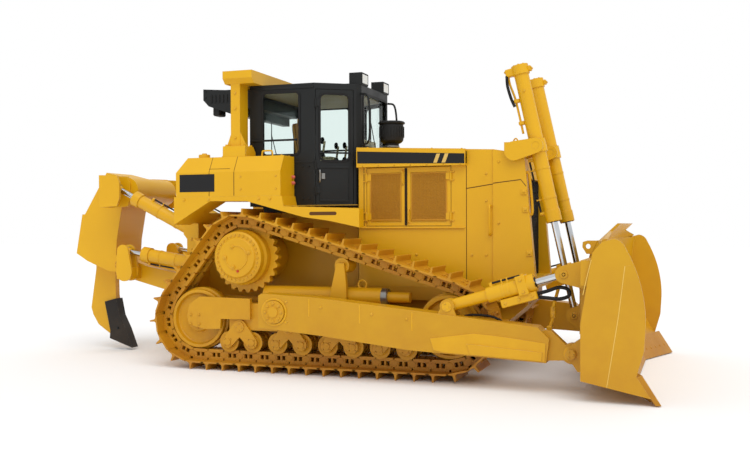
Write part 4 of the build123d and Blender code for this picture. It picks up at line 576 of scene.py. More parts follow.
def both_ways(half: Spots) -> list[tuple[float, float]]:
    """Section of a turned shape, from the half on one side of its middle plane."""
    return [*half, *((radius, -height) for radius, height in reversed(half))]


def smooth_line(points: list[Vector], closed: bool, steps: int) -> list[Vector]:
    """Points of a smooth curve that passes through a few given ones.

    Args:
        points: the points to pass.
        closed: whether the curve closes.
        steps: how many points per stretch.

    Returns:
        The curve's points.
    """
    count = len(points)
    if count == 2 and not closed:
        return points
    line = []
    for index in range(count if closed else count - 1):
        p1, p2 = points[index], points[(index + 1) % count]
        p0 = points[index - 1] if index or closed else p1 * 2 - p2
        p3 = points[(index + 2) % count] if index < count - 2 or closed else p2 * 2 - p1
        for t in (step / steps for step in range(steps)):
            line.append(0.5 * ((p1 * 2) + (p2 - p0) * t + (p0 * 2 - p1 * 5 + p2 * 4 - p3) * t * t
                               + (p1 * 3 - p0 - p2 * 3 + p3) * t ** 3))
    return line if closed else [*line, points[-1]]


class Fitting:
    """A piece under construction: closed shapes gathered into one mesh, built when its block ends."""

    def __init__(self, name: str, finish: Finish, body: str = "machine", side: Side | None = None,
                 stands_for: str = "") -> None:
        """Start the piece.

        Args:
            name: its name, with braces where the side's word goes.
            finish: its finish.
            body: the CAD body that it moves with.
            side: the side that it is mirrored to, or None to leave it in place.
            stands_for: the CAD node that it takes the place of.
        """
        word = side.label if side else ""
        self.name, self.body, self.stands_for = (text.format(word) for text in (name, body, stands_for))
        self.finish = finish
        self.flip = side.value if side else 1
        self.points: list[Vector] = []
        self.faces: list[list[int]] = []

    def __enter__(self) -> Fitting:
        """Open the piece's block."""
        return self

    def __exit__(self, kind: type | None, error: Exception | None, trace: object) -> None:
        """Build the piece, unless its block failed."""
        if kind is None:
            self.build()

    def both_sides(self) -> Iterator[Side]:
        """Go over both sides, with what is added meanwhile mirrored to each.

        Returns:
            Each side in turn.
        """
        for side in Side:
            self.flip = side.value
            yield side
        self.flip = 1

    def add(self, points: Iterable[Vector], faces: Iterable[Sequence[int]],
            place: Matrix | None = None) -> None:
        """Take in one closed shape: corners, faces as corner numbers, and where it goes.

        Args:
            points: corners of the shape.
            faces: numbers of each face's corners.
            place: placement of the shape.
        """
        start = len(self.points)
        for point in points:
            x, y, z = place @ point if place else point
            self.points.append(Vector((x, y * self.flip, z)))
        self.faces += [[start + index for index in face] for face in faces]

    def box(self, low: Point, high: Point, chamfer: float = 0.004, place: Matrix | None = None) -> None:
        """Box between two corners with chamfered edges.

        Args:
            low: lowest corner.
            high: highest corner.
            chamfer: width of the cut edges.
            place: placement of the shape.
        """
        middle = (Vector(low) + Vector(high)) / 2
        half = [abs(b - a) / 2 for a, b in zip(low, high)]
        cut = min(chamfer, *(size * 0.45 for size in half))
        signs = list(product((-1, 1), repeat=3))
        spots = list(product(signs, range(3)))
        number = {spot: index for index, spot in enumerate(spots)}
        corners = [middle + Vector([s * (size - cut * (i != axis)) for i,
                                    (s, size) in enumerate(zip(sign, half))])
                   for sign, axis in spots]
        faces = [[number[sign, axis] for axis in range(3)] for sign in signs]
        for axis in range(3):
            first, second = (i for i in range(3) if i != axis)

            def corner(way: int, a: int, b: int) -> tuple[int, ...]:
                """Signs of the corner at three ways along the axes."""
                sign = {axis: way, first: a, second: b}
                return tuple(sign[i] for i in range(3))

            for way in (-1, 1):
                loop = ((-1, -1), (1, -1), (1, 1), (-1, 1))
                faces.append([number[corner(way, a, b), axis] for a, b in loop])
            for a, b in product((-1, 1), repeat=2):
                start, end = corner(-1, a, b), corner(1, a, b)
                faces.append([number[spot] for spot in ((start, first), (end, first), (end, second),
                                                        (start, second))])
        self.add(corners, faces, place)

    def plate(self, outline: Sequence[Point], low: float, high: float, place: Matrix | None = None) -> None:
        """Plate with an X-Z outline between two Y values.

        Args:
            outline: corners in the X-Z plane.
            low: Y of one face.
            high: Y of the other face.
            place: placement of the shape.
        """
        count = len(outline)
        corners = [Vector((x, y, z)) for y in (low, high) for x, z in outline]
        faces = [range(count), range(2 * count - 1, count - 1, -1)]
        for index in range(count):
            after = (index + 1) % count
            faces.append([index, after, count + after, count + index])
        self.add(corners, faces, place)

    def sheet(self, low: Point, high: Point, inner: float, outer: float) -> None:
        """Rectangular plate between two (x, z) corners and two Y values."""
        (x0, z0), (x1, z1) = low, high
        self.plate(((x0, z0), (x1, z0), (x1, z1), (x0, z1)), inner, outer)

    def band(self, line: Spots, half: Point, inner: float, outer: float) -> None:
        """Narrow strip along a broken (x, z) line, half as wide each way as given.

        Args:
            line: corners of the line.
            half: half its width in X and in Z.
            inner: Y of the inner face.
            outer: Y of the outer face.
        """
        dx, dz = half
        for (xa, za), (xb, zb) in pairwise(line):
            self.plate(((xa - dx, za - dz), (xb - dx, zb - dz), (xb + dx, zb + dz), (xa + dx, za + dz)),
                       inner, outer)

    def turned(self, profile: Sequence[Point], origin: Point, axis: Vector = OUT, sides: int = 24) -> None:
        """Closed solid of revolution.

        Args:
            profile: (radius, height) points from the axis round to the axis.
            origin: point on the axis at height 0.
            axis: direction of the axis.
            sides: facets around.
        """
        corners: list[Vector] = []
        rings: list[list[int]] = []
        for radius, height in profile:
            count = sides if radius > 1e-6 else 1
            rings.append([len(corners) + step % count for step in range(sides)])
            corners += [Vector((x, y, height)) for x, y in around(count, radius)]
        faces = []
        for (first, second), step in product(pairwise(rings), range(sides)):
            after = (step + 1) % sides
            loop = list(dict.fromkeys((first[step], second[step], second[after], first[after])))
            if len(loop) > 2:
                faces.append(loop)
        self.add(corners, faces, turned_frame(origin, axis))

    def ring(self, inner: float, outer: float, low: float, high: float, origin: Point, axis: Vector = OUT,
             sides: int = 40) -> None:
        """Square ring around an axis, between two radii and two heights."""
        self.turned(((inner, low), (outer, low), (outer, high), (inner, high), (inner, low)), origin, axis,
                    sides)

    def disc(self, origin: Point, axis: Vector, radius: float, height: float, sides: int = 24,
             rounding: float = 0.15) -> None:
        """Round boss that stands on a face, with its rim eased by a share of its size.

        Args:
            origin: centre of its foot.
            axis: direction that it points in.
            radius: its radius.
            height: its height.
            sides: number of its sides.
            rounding: share of the height that is rounded.
        """
        ease = min(radius, height) * rounding
        rim = ((radius, height - ease), (radius - ease, height))
        self.turned(((0, 0), (radius, 0), *rim, (0, height)), origin, axis, sides)

    def bolt(self, foot: Point, axis: Vector = OUT, size: float = 0.018) -> None:
        """Hexagon bolt head on its washer, with a given radius over its corners.

        Args:
            foot: centre of its foot.
            axis: direction that it points in.
            size: half its width.
        """
        self.disc(foot, axis, size * 1.25, size * 0.2, 12)
        head = ((0, 0), (size, 0), (size, size * 0.75), (size * 0.82, size * 0.92), (0, size * 0.92))
        self.turned(head, Vector(foot) + axis * size * 0.18, axis, 6)

    def side_bolts(self, spots: Spots, face: float, size: float) -> None:
        """Bolt heads on an upright side face, at (x, z) spots."""
        for x, z in spots:
            self.bolt((x, face, z), OUT, size)

    def bolt_ring(self, centre: Point, axis: Vector, radius: float, count: int, size: float,
                  first: float = 0.0) -> None:
        """Bolt heads evenly around a circle.

        Args:
            centre: centre of the circle on the clamped face.
            axis: direction that the heads point in.
            radius: the circle's radius.
            count: how many bolts.
            size: head radius.
            first: angle of the first one, in radians.
        """
        place = turned_frame(centre, axis)
        for x, y in around(count, radius, first):
            self.bolt(place @ Vector((x, y, 0)), axis, size)

    def tube(self, route: Sequence[Point], radius: float, sides: int = 10, closed: bool = False,
             steps: int = 6) -> None:
        """Round pipe on a smooth line through a few points.

        Args:
            route: points that the pipe passes.
            radius: the pipe's radius.
            sides: facets around.
            closed: whether the end meets the start.
            steps: how many rings between two points.
        """
        line = smooth_line([Vector(p) for p in route], closed, steps)
        count = len(line)
        normal = OUT if abs((line[1] - line[0]).normalized().dot(UP)) > 0.9 else UP
        corners = []
        for index, centre in enumerate(line):
            before = line[index - 1] if index or closed else centre
            after = line[(index + 1) % count] if index < count - 1 or closed else centre
            run = (after - before).normalized()
            normal = (normal - run * normal.dot(run)).normalized()
            aside = run.cross(normal)
            corners += [centre + normal * x + aside * y for x, y in around(sides, radius)]
        faces = []
        for index, step in product(range(count if closed else count - 1), range(sides)):
            first, second = index * sides, (index + 1) % count * sides
            turn = (step + 1) % sides
            faces.append([first + step, first + turn, second + turn, second + step])
        if not closed:
            faces += [range(sides), range(count * sides - 1, (count - 1) * sides - 1, -1)]
        self.add(corners, faces)

    def bar(self, start: Point, end: Point, radius: float, sides: int = 20) -> None:
        """Straight round bar with eased ends.

        Args:
            start: one end.
            end: the other end.
            radius: its radius.
            sides: number of its sides.
        """
        run = Vector(end) - Vector(start)
        ease = min(radius * 0.2, run.length * 0.2)
        self.turned(((0, 0), (radius - ease, 0), (radius, ease), (radius, run.length - ease),
                     (radius - ease, run.length), (0, run.length)), start, run.normalized(), sides)

    def box_on(self, line: CylinderLine, runs: Point, offsets: Point, half: float) -> None:
        """Box that lies along a cylinder, between two distances and two offsets."""
        place = frame_matrix(line.at(0), line.run, line.across)
        self.box((runs[0], -half, offsets[0]), (runs[1], half, offsets[1]), 0.008, place)

    def window_ring(self, size: Point, corner: float, place: Matrix) -> None:
        """Rubber frame around an opening with rounded corners.

        Args:
            size: width and height of the opening.
            corner: radius of the opening's corners.
            place: placement, with X and Z along the frame and its low corner at the origin.
        """
        border, depth, turns = 0.026, 0.010, 6
        width, height = size
        inner, outer = [], []
        centres = ((corner, corner, 2), (width - corner, corner, 3), (width - corner, height - corner, 0),
                   (corner, height - corner, 1))
        for x, z, quarter in centres:
            for step in range(turns + 1):
                angle = math.pi / 2 * (quarter + step / turns)
                for ring, reach in ((inner, corner), (outer, corner + border)):
                    ring.append((x + reach * math.cos(angle), z + reach * math.sin(angle)))
        count = len(inner)
        corners = [Vector((x, y, z)) for y in (0.0, depth) for ring in (inner, outer) for x, z in ring]
        faces = []
        for index in range(count):
            after = (index + 1) % count
            for a, b in ((0, 1), (2, 3), (0, 2), (1, 3)):
                faces.append([a * count + index, a * count + after, b * count + after, b * count + index])
        self.add(corners, faces, place)

    def build(self) -> Object:
        """Make the object, smooth it, dress it and let it ride on its body.

        Returns:
            The new object.
        """
        mesh = bpy.data.meshes.new(self.name)
        mesh.from_pydata(self.points, [], self.faces)
        shape = bmesh.new()
        shape.from_mesh(mesh)
        bmesh.ops.remove_doubles(shape, verts=shape.verts, dist=1e-6)
        bmesh.ops.recalc_face_normals(shape, faces=shape.faces)
        for edge in shape.edges:
            edge.smooth = len(edge.link_faces) == 2 and edge.calc_face_angle(0.0) < SMOOTH_LIMIT
        for face in shape.faces:
            face.smooth = True
        shape.to_mesh(mesh)
        shape.free()
        piece = bpy.data.objects.new(self.name, mesh)
        bpy.context.scene.collection.objects.link(piece)
        mesh.materials.append(self.finish.material())
        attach(piece, self.body)
        if self.stands_for:
            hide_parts(self.stands_for)
        LOG.info("piece %s on %s: %d faces", self.name, self.body, len(mesh.polygons))
        return piece


# Undercarriage

@dataclass(frozen=True)
class Wheel:
    """A wheel that the chain wraps: its centre and the radius of its pin circle."""

    x: float
    z: float
    radius: float

    def at(self, turn: float) -> Vector:
        """Point on the pin circle."""
        return Vector((self.x + self.radius * math.cos(turn), 0, self.z + self.radius * math.sin(turn)))


@dataclass(frozen=True)
class ChainLine:
    """Closed line of the chain pins around the wheels, counter-clockwise seen from the right."""

    wheels: tuple[Wheel, ...]
    count: int

    def tangent_turn(self, first: Wheel, second: Wheel) -> float:
        """Direction of the outer tangent's normal between two wheels, in radians.

        Args:
            first: the wheel that the tangent leaves.
            second: the wheel that it reaches.

        Returns:
            The angle in radians.
        """
        run_x, run_z = second.x - first.x, second.z - first.z
        lean = (first.radius - second.radius) / math.hypot(run_x, run_z)
        return math.atan2(run_z, run_x) - math.pi / 2 + math.asin(lean)

    def pins(self) -> list[Vector]:
        """Work out the pin centres, evenly spaced, in the X-Z plane.

        Returns:
            The pin centres.
        """
        followers = [*self.wheels[1:], self.wheels[0]]
        turns = [self.tangent_turn(wheel, after) for wheel, after in zip(self.wheels, followers)]
        stretches = []
        for index, (wheel, after) in enumerate(zip(self.wheels, followers)):
            turn_in, turn_out = turns[index - 1], turns[index]
            while turn_out < turn_in:
                turn_out += math.tau
            arc, start, end = turn_out - turn_in, wheel.at(turn_out), after.at(turn_out)
            stretches.append((wheel.radius * arc, lambda share, w=wheel, a=turn_in,
                              s=arc: w.at(a + s * share)))
            stretches.append(((end - start).length, lambda share, p=start, q=end: p.lerp(q, share)))
        pitch = sum(length for length, _ in stretches) / self.count
        pins: list[Vector] = []
        travelled = 0.0
        for length, place in stretches:
            while len(pins) < self.count and len(pins) * pitch < travelled + length:
                pins.append(place((len(pins) * pitch - travelled) / length))
            travelled += length
        return pins


@dataclass
class CrawlerTracks:
    """Both chains: single-bar shoes bolted to two rows of links."""

    gauge_half: float = 1.040
    shoe_half: float = 0.280
    link_depth: float = 0.065
    link_rows: tuple[float, float] = (0.063, 0.127)
    plate: float = 0.020
    bar_height: float = 0.078
    bar_root: float = 0.018
    bar_tip: float = 0.009
    bar_share: float = 0.30
    lip: float = 0.026
    bolt_shares: tuple[float, ...] = (0.58, 0.82)
    bolt_y: tuple[float, ...] = (-0.115, -0.076, 0.076, 0.115)
    webs: Spots = ((0.004, 0.27), (0.44, 0.57), (0.74, 0.99))
    count: int = 44
    idler_x: tuple[float, float] = (1.660, -1.500)
    idler_tread: float = 0.421
    drive: Wheel = Wheel(-0.890, 1.350, 0.434)

    def places(self) -> list[tuple[Matrix, float]]:
        """Placement and pitch of every link of one chain.

        Returns:
            Placement and pitch of each link.
        """
        radius = math.hypot(self.idler_tread, 0.108)
        height = self.link_depth + self.plate + self.bar_height + radius
        front, rear = (Wheel(x, height, radius) for x in self.idler_x)
        pins = ChainLine((front, self.drive, rear), self.count).pins()
        found = []
        for pin, after in pairwise([*pins, pins[0]]):
            run = after - pin
            found.append((frame_matrix(pin + OUT * self.gauge_half, run, (run.z, 0, -run.x)), run.length))
        return found

    def shoe(self, piece: Fitting, place: Matrix, pitch: float) -> None:
        """Add one shoe, a plate with lapped ends and one worn bar, and its bolts.

        Args:
            piece: the piece that takes the shape.
            place: placement of the shape.
            pitch: length of one link.
        """
        top, low = self.link_depth + self.plate, self.link_depth
        tip, middle, end = top + self.bar_height, pitch * self.bar_share, pitch * 0.985
        piece.plate(((0.004, low), (end, low), (end, low + 0.003), (pitch + self.lip, low + 0.003),
                     (pitch + self.lip, low + 0.010), (end, low + 0.014), (end, top - 0.006),
                     (pitch * 0.95, top), (middle + self.bar_root + 0.012, top),
                     (middle + self.bar_root * 0.8, top + 0.014), (middle + self.bar_tip, tip - 0.004),
                     (middle + self.bar_tip * 0.6, tip), (middle - self.bar_tip * 0.6, tip),
                     (middle - self.bar_tip, tip - 0.004), (middle - self.bar_root * 0.8, top + 0.014),
                     (middle - self.bar_root - 0.012, top), (0.03, top), (0.004, top - 0.006),
                     (-self.lip * 0.7, low + 0.012), (-self.lip * 0.7, low + 0.004), (0.004, low + 0.004)),
                    -self.shoe_half, self.shoe_half, place)
        outwards = (place.to_3x3() @ UP).normalized()
        for share, y in product(self.bolt_shares, self.bolt_y):
            head = ((0, 0), (0.017, 0), (0.017, 0.014), (0, 0.014))
            piece.turned(head, place @ Vector((pitch * share, y, top)), outwards, 6)

    def link(self, piece: Fitting, place: Matrix, pitch: float) -> None:
        """Add one pair of open links with their pin and bushing ends.

        Args:
            piece: the piece that takes the links.
            place: placement of the shape.
            pitch: length of one link.
        """
        deep, axis = self.link_depth, place.to_3x3() @ OUT
        for way in (-1, 1):
            low, high = sorted(way * y for y in self.link_rows)
            piece.plate(((0.012, -deep), (pitch - 0.012, -deep), (pitch - 0.004, -deep + 0.02),
                         (pitch * 0.8, -0.026), (pitch * 0.2, -0.026), (0.004, -deep + 0.02)), low, high,
                         place)
            piece.plate(((0.008, deep), (0.008, 0.04), (pitch * 0.2, 0.026), (pitch * 0.8, 0.026),
                         (pitch - 0.008, 0.04), (pitch - 0.008, deep)), low + 0.002, high - 0.002, place)
            for start, end in self.webs:
                piece.box((pitch * start, low + 0.005, -0.045), (pitch * end, high - 0.005, 0.05), 0.006,
                          place)
            piece.disc(place @ Vector((0, way * (self.link_rows[1] - 0.012), 0)), axis * way, 0.040, 0.011,
                       20)
        piece.bar(place @ Vector((0, -0.062, 0)), place @ Vector((0, 0.062, 0)), 0.034, 16)

    def build(self) -> None:
        """Build both chains."""
        for side in Side:
            with Fitting("track_shoes_{}", FINISH.track, side=side, stands_for="track_{}") as shoes:
                for place, pitch in self.places():
                    self.shoe(shoes, place, pitch)
            with Fitting("track_links_{}", FINISH.track, side=side) as links:
                for place, pitch in self.places():
                    self.link(links, place, pitch)


@dataclass
class RollerFrames:
    """Idlers, rollers, their frames' caps, recoil rings and bolts."""

    gauge_half: float = 1.040
    idler_x: tuple[float, float] = (1.660, -1.500)
    idler_z: float = 0.5976
    idler_half: Spots = ((0, 0.150), (0.056, 0.150), (0.062, 0.144), (0.062, 0.136), (0.100, 0.132),
                         (0.150, 0.124), (0.166, 0.076), (0.185, 0.068), (0.290, 0.068), (0.303, 0.078),
                         (0.316, 0.126), (0.348, 0.128), (0.355, 0.122), (0.355, 0.058), (0.376, 0.050),
                         (0.379, 0.044))
    roller_half: Spots = ((0, 0.150), (0.032, 0.150), (0.036, 0.146), (0.036, 0.143), (0.070, 0.143),
                          (0.076, 0.138), (0.090, 0.144), (0.121, 0.144), (0.125, 0.140), (0.123, 0.132),
                          (0.106, 0.126), (0.105, 0.060), (0.094, 0.050))
    roller_z: float = 0.3335
    roller_reach: float = 0.158
    bogie_x: tuple[float, ...] = (-0.910, -0.270, 0.370, 1.010)
    bogie_z: float = 0.520
    bogie_face: float = 1.222
    recoil_ring: tuple[float, float] = (0.820, 0.905)
    eye_centre: tuple[float, float] = (0.590, 1.045)
    trunnion: tuple[float, float, float] = (-0.270, 1.630, 0.750)
    frame_wall: float = 1.190
    frame_bolts: tuple[float, float] = (-0.960, 0.190)
    frame_z: tuple[float, float] = (0.480, 0.800)
    hatches: tuple[float, ...] = (-0.62, 0.02, 0.66)

    def wheels(self, side: Side) -> None:
        """Turned idlers and rollers of one side.

        Args:
            side: the machine's side.
        """
        with Fitting("idler_wheels_{}", FINISH.under, side=side, stands_for="idlers") as idlers:
            for x in self.idler_x:
                idlers.turned(both_ways(self.idler_half), (x, self.gauge_half, self.idler_z), OUT, 64)
                for way in (-1, 1):
                    idlers.bolt_ring((x, self.gauge_half + way * 0.128, self.idler_z), OUT * way, 0.118, 8,
                                     0.011)
        with Fitting("roller_wheels_{}", FINISH.under, side=side, stands_for="track_rollers") as rollers:
            for x, way in product(self.bogie_x, (-1, 1)):
                centre = (x + way * self.roller_reach, self.gauge_half, self.roller_z)
                rollers.turned(both_ways(self.roller_half), centre, OUT, 40)

    def hardware(self, side: Side) -> None:
        """Pivot caps, guard bolts, recoil ring and trunnion bolts of one side.

        Args:
            side: the machine's side.
        """
        with Fitting("bogie_caps_{}", FINISH.under, side=side) as caps:
            for x in self.bogie_x:
                caps.disc((x, self.bogie_face, self.bogie_z), OUT, 0.062, 0.012, 28)
                caps.bolt_ring((x, self.bogie_face + 0.012, self.bogie_z), OUT, 0.040, 4, 0.009)
                for way in (-1, 1):
                    centre = (x + way * self.roller_reach, self.bogie_face, self.roller_z)
                    caps.disc(centre, OUT, 0.040, 0.010, 20)
                    caps.bolt_ring(centre, OUT, 0.055, 4, 0.008, math.pi / 4)
        low, high = self.frame_z
        with Fitting("frame_bolts_{}", FINISH.under, side=side) as frame:
            start, spacing = self.frame_bolts
            upper = tuple((start + step * spacing, high - 0.045) for step in range(12))
            frame.side_bolts(upper + tuple((x, low + 0.15) for x, _ in upper[1::2]), self.frame_wall, 0.014)
            for x in self.hatches:
                frame.box((x, self.frame_wall - 0.004, low + 0.20),
                          (x + 0.32, self.frame_wall + 0.008, high - 0.08),
                          0.006)
            corners = product(self.idler_x, (-0.056, 0.056), (-0.056, 0.056))
            frame.side_bolts(tuple((x + dx, self.idler_z + dz) for x, dx, dz in corners),
                             self.gauge_half + 0.20, 0.014)
        with Fitting("recoil_ring_{}", FINISH.zinc, side=side) as ring:
            x, z = self.recoil_ring
            profile = ((0, 0), (0.098, 0), (0.102, 0.006), (0.102, 0.080), (0.094, 0.090), (0, 0.090))
            ring.turned(profile, (x, self.gauge_half, z), FORWARD, 40)
        with Fitting("lift_eye_{}", FINISH.under, side=side) as eye:
            x, z = self.eye_centre
            eye.tube([(x + dx, self.gauge_half, z + dz) for dx, dz in around(8, 0.05)], 0.012, 8, True)
        with Fitting("trunnion_bolts_{}", FINISH.under, side=side) as bolts:
            bolts.disc(self.trunnion, OUT, 0.060, 0.012, 32)
            bolts.bolt_ring(self.trunnion, OUT, 0.098, 8, 0.016)

    def build(self) -> None:
        """Build both sides."""
        for side in Side:
            self.wheels(side)
            self.hardware(side)


@dataclass
class FinalDrives:
    """Covers of the final drives: rings of bolts, raised bosses, plug and rim."""

    centre: tuple[float, float] = (-0.890, 1.350)
    ring_face: float = 1.308
    hub_face: float = 1.330
    ring_radius: float = 0.267
    ring_bolts: int = 30
    ridge_radius: float = 0.140
    bosses: Spots = ((-0.947, 1.480), (-0.727, 1.411), (-0.930, 1.236), (-1.040, 1.352))

    def build(self) -> None:
        """Build both covers' hardware."""
        x, z = self.centre
        middle = Vector((x, self.hub_face, z))
        for side in Side:
            with Fitting("final_drive_bolts_{}", FINISH.under, side=side) as piece:
                piece.bolt_ring((x, self.ring_face, z), OUT, self.ring_radius, self.ring_bolts, 0.012)
                feet = [Vector((bx, self.hub_face, bz)) for bx, bz in self.bosses]
                for first, second in pairwise(feet):
                    spokes = [first.lerp(second, step / 6) - middle for step in range(7)]
                    ridge = [middle + spoke.normalized() * self.ridge_radius for spoke in spokes]
                    piece.tube(ridge, 0.008, 8, False, 3)
                for foot in feet:
                    piece.disc(foot, OUT, 0.024, 0.014, 24)
                    piece.bolt(foot + OUT * 0.012, OUT, 0.012)
            with Fitting("drive_plug_{}", FINISH.red, side=side) as plug:
                plug.disc(middle + Vector((0.02, 0, -0.16)), OUT, 0.014, 0.012, 16)


# Hood and nose

@dataclass
class MeshPanel:
    """Ventilated panel: woven wires and a raised rim over a darker sheet of painted shade."""

    low: tuple[float, float]
    high: tuple[float, float]
    spacing: float = 0.017
    wire: float = 0.0030
    rim: float = 0.014

    def wires(self, piece: Fitting, face: float) -> None:
        """Add the wires and the rim, standing on the panel's face.

        Args:
            piece: the piece that takes the shape.
            face: Y of the panel's face.
        """
        (x0, z0), (x1, z1) = self.low, self.high
        inner, outer = face - 0.001, face + 0.004
        columns, rows = int((x1 - x0) / self.spacing), int((z1 - z0) / self.spacing)
        for x in (x0 + (x1 - x0) * step / columns for step in range(1, columns)):
            piece.sheet((x - self.wire, z0), (x + self.wire, z1), inner, outer)
        for z in (z0 + (z1 - z0) * step / rows for step in range(1, rows)):
            piece.sheet((x0, z - self.wire), (x1, z + self.wire), inner, outer)
        rim = self.rim
        for a, b in (((x0 - rim, z0 - rim), (x1 + rim, z0)), ((x0 - rim, z1), (x1 + rim, z1 + rim)),
                     ((x0 - rim, z0), (x0, z1)), ((x1, z0), (x1 + rim, z1))):
            piece.box((a[0], inner, a[1]), (b[0], face + 0.008, b[1]), 0.003)


@dataclass
class Hood:
    """Engine hood: ventilated doors, seams, pulls, cowl stripe and screws."""

    side_face: float = 0.600
    cowl_face: float = 0.680
    panels: dict[str, MeshPanel] = field(default_factory=lambda: {
        "rear": MeshPanel((0.545, 1.795), (0.910, 2.335)),
        "front": MeshPanel((1.060, 1.795), (1.470, 2.335))})
    rubber_x: dict[str, float] = field(default_factory=lambda: {"rear": 0.9725, "front": 0.9915})
    pulls: tuple[tuple[str, float, float, float], ...] = (("rear", 0.945, 2.216, 2.372),
                                                          ("front", 1.020, 1.760, 1.912))
    ledge_z: float = 1.700
    joints: Route = ((1.716, 1.020, 2.415), (0.452, 1.720, 2.415))
    groove: Spots = ((1.716, 2.150), (1.980, 2.190), (2.028, 2.196))
    stripe: Spots = ((0.395, 2.468), (1.712, 2.438), (1.712, 2.552), (0.395, 2.612))
    marks: tuple[float, float] = (1.340, 1.440)
    screws: Spots = ((1.950, 2.317), (1.950, 2.005), (1.950, 1.380), (1.780, 1.380), (0.460, 1.380),
                     (1.110, 1.380))
    handle: Route = ((2.000, 0.598, 1.617), (2.000, 0.664, 1.640), (2.000, 0.664, 1.920),
                     (2.000, 0.598, 1.944))
    bracket: Route = ((2.135, 0.100, 2.655), (2.135, 0.100, 2.745), (2.160, 0.100, 2.775),
                      (2.185, 0.100, 2.745),
                      (2.185, 0.100, 2.655))
    top_screws: tuple[float, ...] = (0.50, 0.90, 1.30, 1.66)
    top_joints: tuple[float, ...] = (0.620, 1.150, 1.640)

    def top_z(self, x: float) -> float:
        """Height of the sloping hood top."""
        return 2.660 - 0.03888 * (x - 0.384)

    def doors(self, side: Side) -> None:
        """Mesh panels, rubber strips and pulls on two engine doors.

        Args:
            side: the machine's side.
        """
        face = self.side_face
        for name, panel in self.panels.items():
            body = f"engine_door_{name}_{{}}"
            # Darker sheet behind the wires: painted shade of the bay behind the mesh
            with Fitting(body + "_shade", FINISH.mesh_shade, body, side) as shade_sheet:
                shade_sheet.sheet(panel.low, panel.high, face - 0.003, face + 0.0012)
            with Fitting(body + "_mesh", FINISH.mesh, body, side) as wires:
                panel.wires(wires, face)
        for name, x in self.rubber_x.items():
            with Fitting(f"door_rubber_{name}_{{}}", FINISH.rubber, f"engine_door_{name}_{{}}",
                         side) as strip:
                strip.box((x - 0.0065, face - 0.004, 1.728), (x + 0.0065, face + 0.005, 2.404), 0.002)
        for name, x, low, high in self.pulls:
            body = f"engine_door_{name}_{{}}"
            with Fitting(body + "_pull", FINISH.yellow, body, side) as pull:
                grip = face + 0.034
                pull.tube([(x, face, low), (x, grip, low + 0.012), (x, grip, high - 0.012),
                           (x, face, high)], 0.008)
                for z in (low, high):
                    pull.disc((x, face, z), OUT, 0.018, 0.006, 16)

    def walls(self, side: Side) -> None:
        """Seams, ledge, screws, handle and stripe of one side.

        Args:
            side: the machine's side.
        """
        inner, outer = self.side_face - 0.002, self.side_face + 0.0012
        with Fitting("hood_seams_{}", FINISH.groove, side=side) as seams:
            for x, low, high in self.joints:
                seams.sheet((x - 0.004, low), (x + 0.004, high), inner, outer)
            seams.band(self.groove, (0, 0.005), inner, outer)
        with Fitting("hood_trim_{}", FINISH.yellow, side=side) as trim:
            trim.box((0.390, 0.596, self.ledge_z - 0.012), (1.700, 0.622, self.ledge_z + 0.004))
            trim.side_bolts(self.screws, self.side_face, 0.012)
            trim.tube(self.handle, 0.012, 12)
            trim.side_bolts(tuple((0.46 + step * 0.20, 2.436) for step in range(7)), self.cowl_face, 0.007)
        with Fitting("cowl_stripe_{}", FINISH.stripe, side=side) as band:
            band.plate(self.stripe, self.cowl_face - 0.003, self.cowl_face + 0.0016)
        with Fitting("stripe_bars_{}", FINISH.pale_mark, side=side) as mark:
            for x in self.marks:
                mark.plate(((x, 2.452), (x + 0.045, 2.452), (x + 0.085, 2.558), (x + 0.040, 2.558)),
                           self.cowl_face - 0.003, self.cowl_face + 0.0028)

    def build(self) -> None:
        """Build both sides, then the lifting bracket, seams and screws on top."""
        for side in Side:
            self.doors(side)
            self.walls(side)
        with Fitting("hood_lifting_bracket", FINISH.yellow) as bracket:
            bracket.box((2.120, 0.060, 2.590), (2.200, 0.140, 2.665), 0.008)
            bracket.tube(self.bracket, 0.009)
            for x, y in product(self.top_screws, (-0.60, 0.60)):
                bracket.bolt((x, y, self.top_z(x)), UP, 0.011)
        with Fitting("hood_top_seams", FINISH.groove) as grooves:
            for x in self.top_joints:
                z = self.top_z(x)
                grooves.box((x - 0.003, -0.660, z - 0.004), (x + 0.003, 0.660, z + 0.0015), 0.0005)


